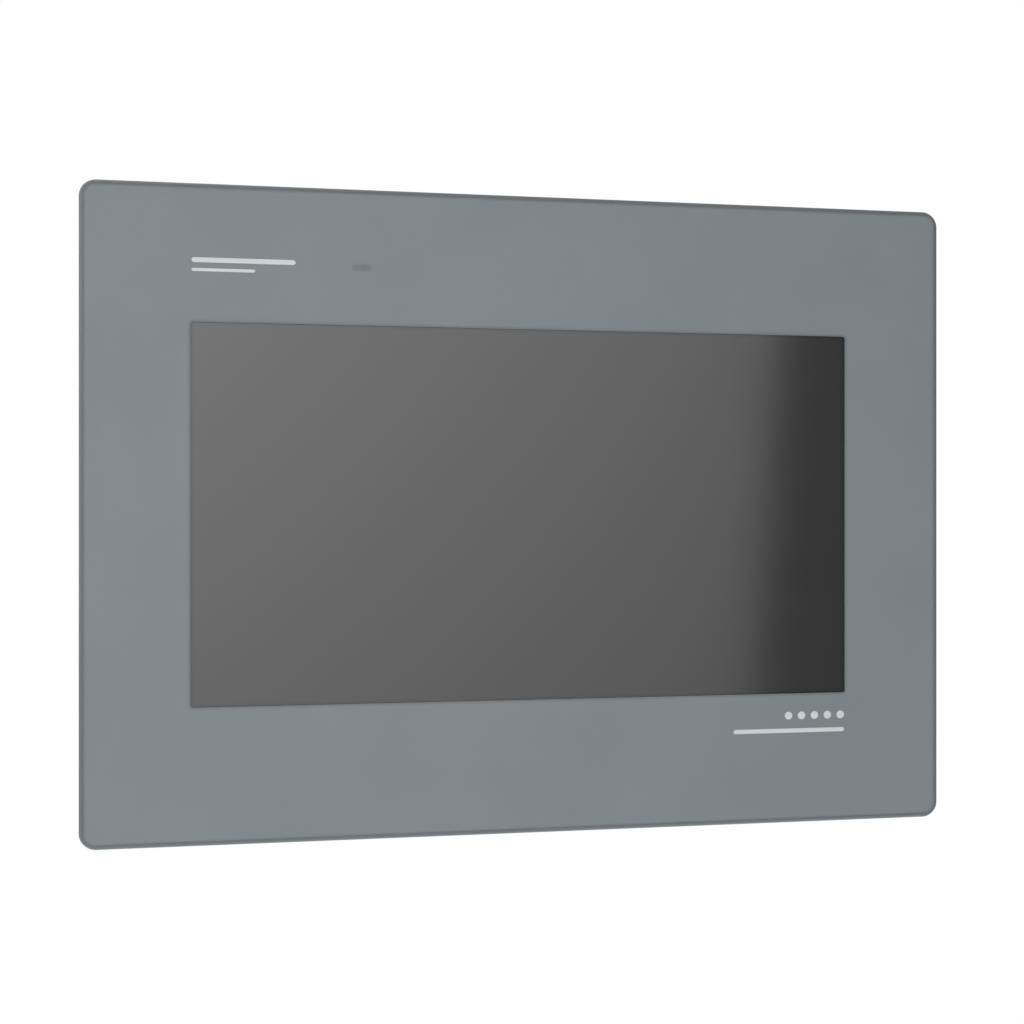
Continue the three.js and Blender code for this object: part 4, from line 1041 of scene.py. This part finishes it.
# A round pale floor well under the panel, as rings of points about the Z axis.
def paleFloor():
    level = cadBox[0].z - studio["floorDrop"]
    rows = [(r, level) for r in (0.0, *np.linspace(0.2, studio["floorRadius"], 12))]
    points, faces, _ = gridSkin(turnedGrid(rows, (0, 0), "z", 64))
    mesh = bpy.data.meshes.new("floor")
    mesh.from_pydata(points.tolist(), [], faces)
    tidyMesh(mesh, mending["copyGap"])
    f = Finish("paleFloor")
    wash = f.mixed(f.noise(0.8, 2), tint(246, 246, 246), tint(250, 250, 250))
    f.set(Base_Color=wash, Roughness=0.9, Emission_Color=(1, 1, 1, 1), Emission_Strength=studio["floorGlow"])
    stageMesh(mesh, f.material)


# A white world that lights the panel softly and that the camera sees brighter, as a plain backdrop.
def paleSky():
    world = bpy.data.worlds.new("studio")
    world.use_nodes = True
    tree = world.node_tree
    light = tree.nodes["Background"]
    light.inputs["Color"].default_value = (1, 1, 1, 1)
    light.inputs["Strength"].default_value = studio["sky"]
    seen = tree.nodes.new("ShaderNodeBackground")
    seen.inputs["Strength"].default_value = studio["backdrop"]
    seen.inputs["Color"].default_value = (1, 1, 1, 1)
    path, mix = tree.nodes.new("ShaderNodeLightPath"), tree.nodes.new("ShaderNodeMixShader")
    tree.links.new(path.outputs["Is Camera Ray"], mix.inputs[0])
    tree.links.new(light.outputs[0], mix.inputs[1])
    tree.links.new(seen.outputs[0], mix.inputs[2])
    tree.links.new(mix.outputs[0], tree.nodes["World Output"].inputs["Surface"])
    bpy.context.scene.world = world


card = dict(distance=1.5, left=-0.42, right=0.612, low=-0.48, high=0.52, lean=0.065, bright=3.85, dim=2.0,
            lowShare=0.66, highShare=1.25)


# The key light: a bright card in front of the panel, whose glow falls off to its right side.
def keyCard():
    u, v = np.meshgrid(np.linspace(0, 1, 9), np.linspace(0, 1, 9), indexing="ij")
    z = card["low"] + (card["high"] - card["low"]) * v
    x = card["left"] + (card["right"] - card["left"]) * u + card["lean"] * z * u
    mesh = bpy.data.meshes.new("keyCard")
    points, faces, _ = gridSkin(np.stack([x, 0 * x - card["distance"], z], -1), closeColumns=False)
    mesh.from_pydata(points.tolist(), [], faces)
    f = Finish("cardGlow")
    across, _, up = f.split()
    glow = f.math("MULTIPLY", f.ranged(across, card["left"], card["right"], card["bright"], card["dim"]),
                  f.ranged(up, card["low"], card["high"], card["lowShare"], card["highShare"]))
    f.set(Base_Color=(0, 0, 0, 1), Emission_Color=(1, 1, 1, 1), Emission_Strength=glow, Roughness=1.0)
    stageMesh(mesh, f.material)


lampLooks = {
    "leftLight": dict(place=(-0.62, -0.5, 0.3), size=0.4, power=2.2),
    "topLight": dict(place=(-0.4, 0.1, 1.3), size=1.0, power=6),
    "backLight": dict(place=(0.9, 1.1, 0.7), size=0.8, power=7),
    "backFill": dict(place=(-1.1, 0.9, 0.3), size=0.9, power=4),
}


# Round area lights that face the origin: pitch = acos(z) and turn = atan2(y, x) of the way from it.
def softLights():
    for name, look in lampLooks.items():
        data = bpy.data.lights.new(name, "AREA")
        data.shape, data.size, data.energy = "DISK", look["size"], look["power"]
        lightObject = bpy.data.objects.new(name, data)
        lightObject.location = look["place"]
        away = np.array(look["place"]) / np.linalg.norm(look["place"])
        pitch, turn = math.acos(away[2]), math.atan2(away[1], away[0])
        lightObject.rotation_euler = (0, pitch, turn)
        bpy.context.scene.collection.objects.link(lightObject)


view = dict(place=(-53.4 * mm, -305.6 * mm, 0.6 * mm), turn=-9.28, lens=45.7, sensor=36, near=0.01)


def addCamera():
    data = bpy.data.cameras.new("camera")
    data.lens, data.sensor_width, data.clip_start = view["lens"], view["sensor"], view["near"]
    camera = bpy.data.objects.new("camera", data)
    camera.location = view["place"]
    camera.rotation_euler = (math.pi / 2, 0, math.radians(view["turn"]))
    bpy.context.scene.collection.objects.link(camera)
    bpy.context.scene.camera = camera


paleFloor()
paleSky()
keyCard()
softLights()
addCamera()
bpy.context.scene.view_settings.view_transform = "Standard"
print("stage done")
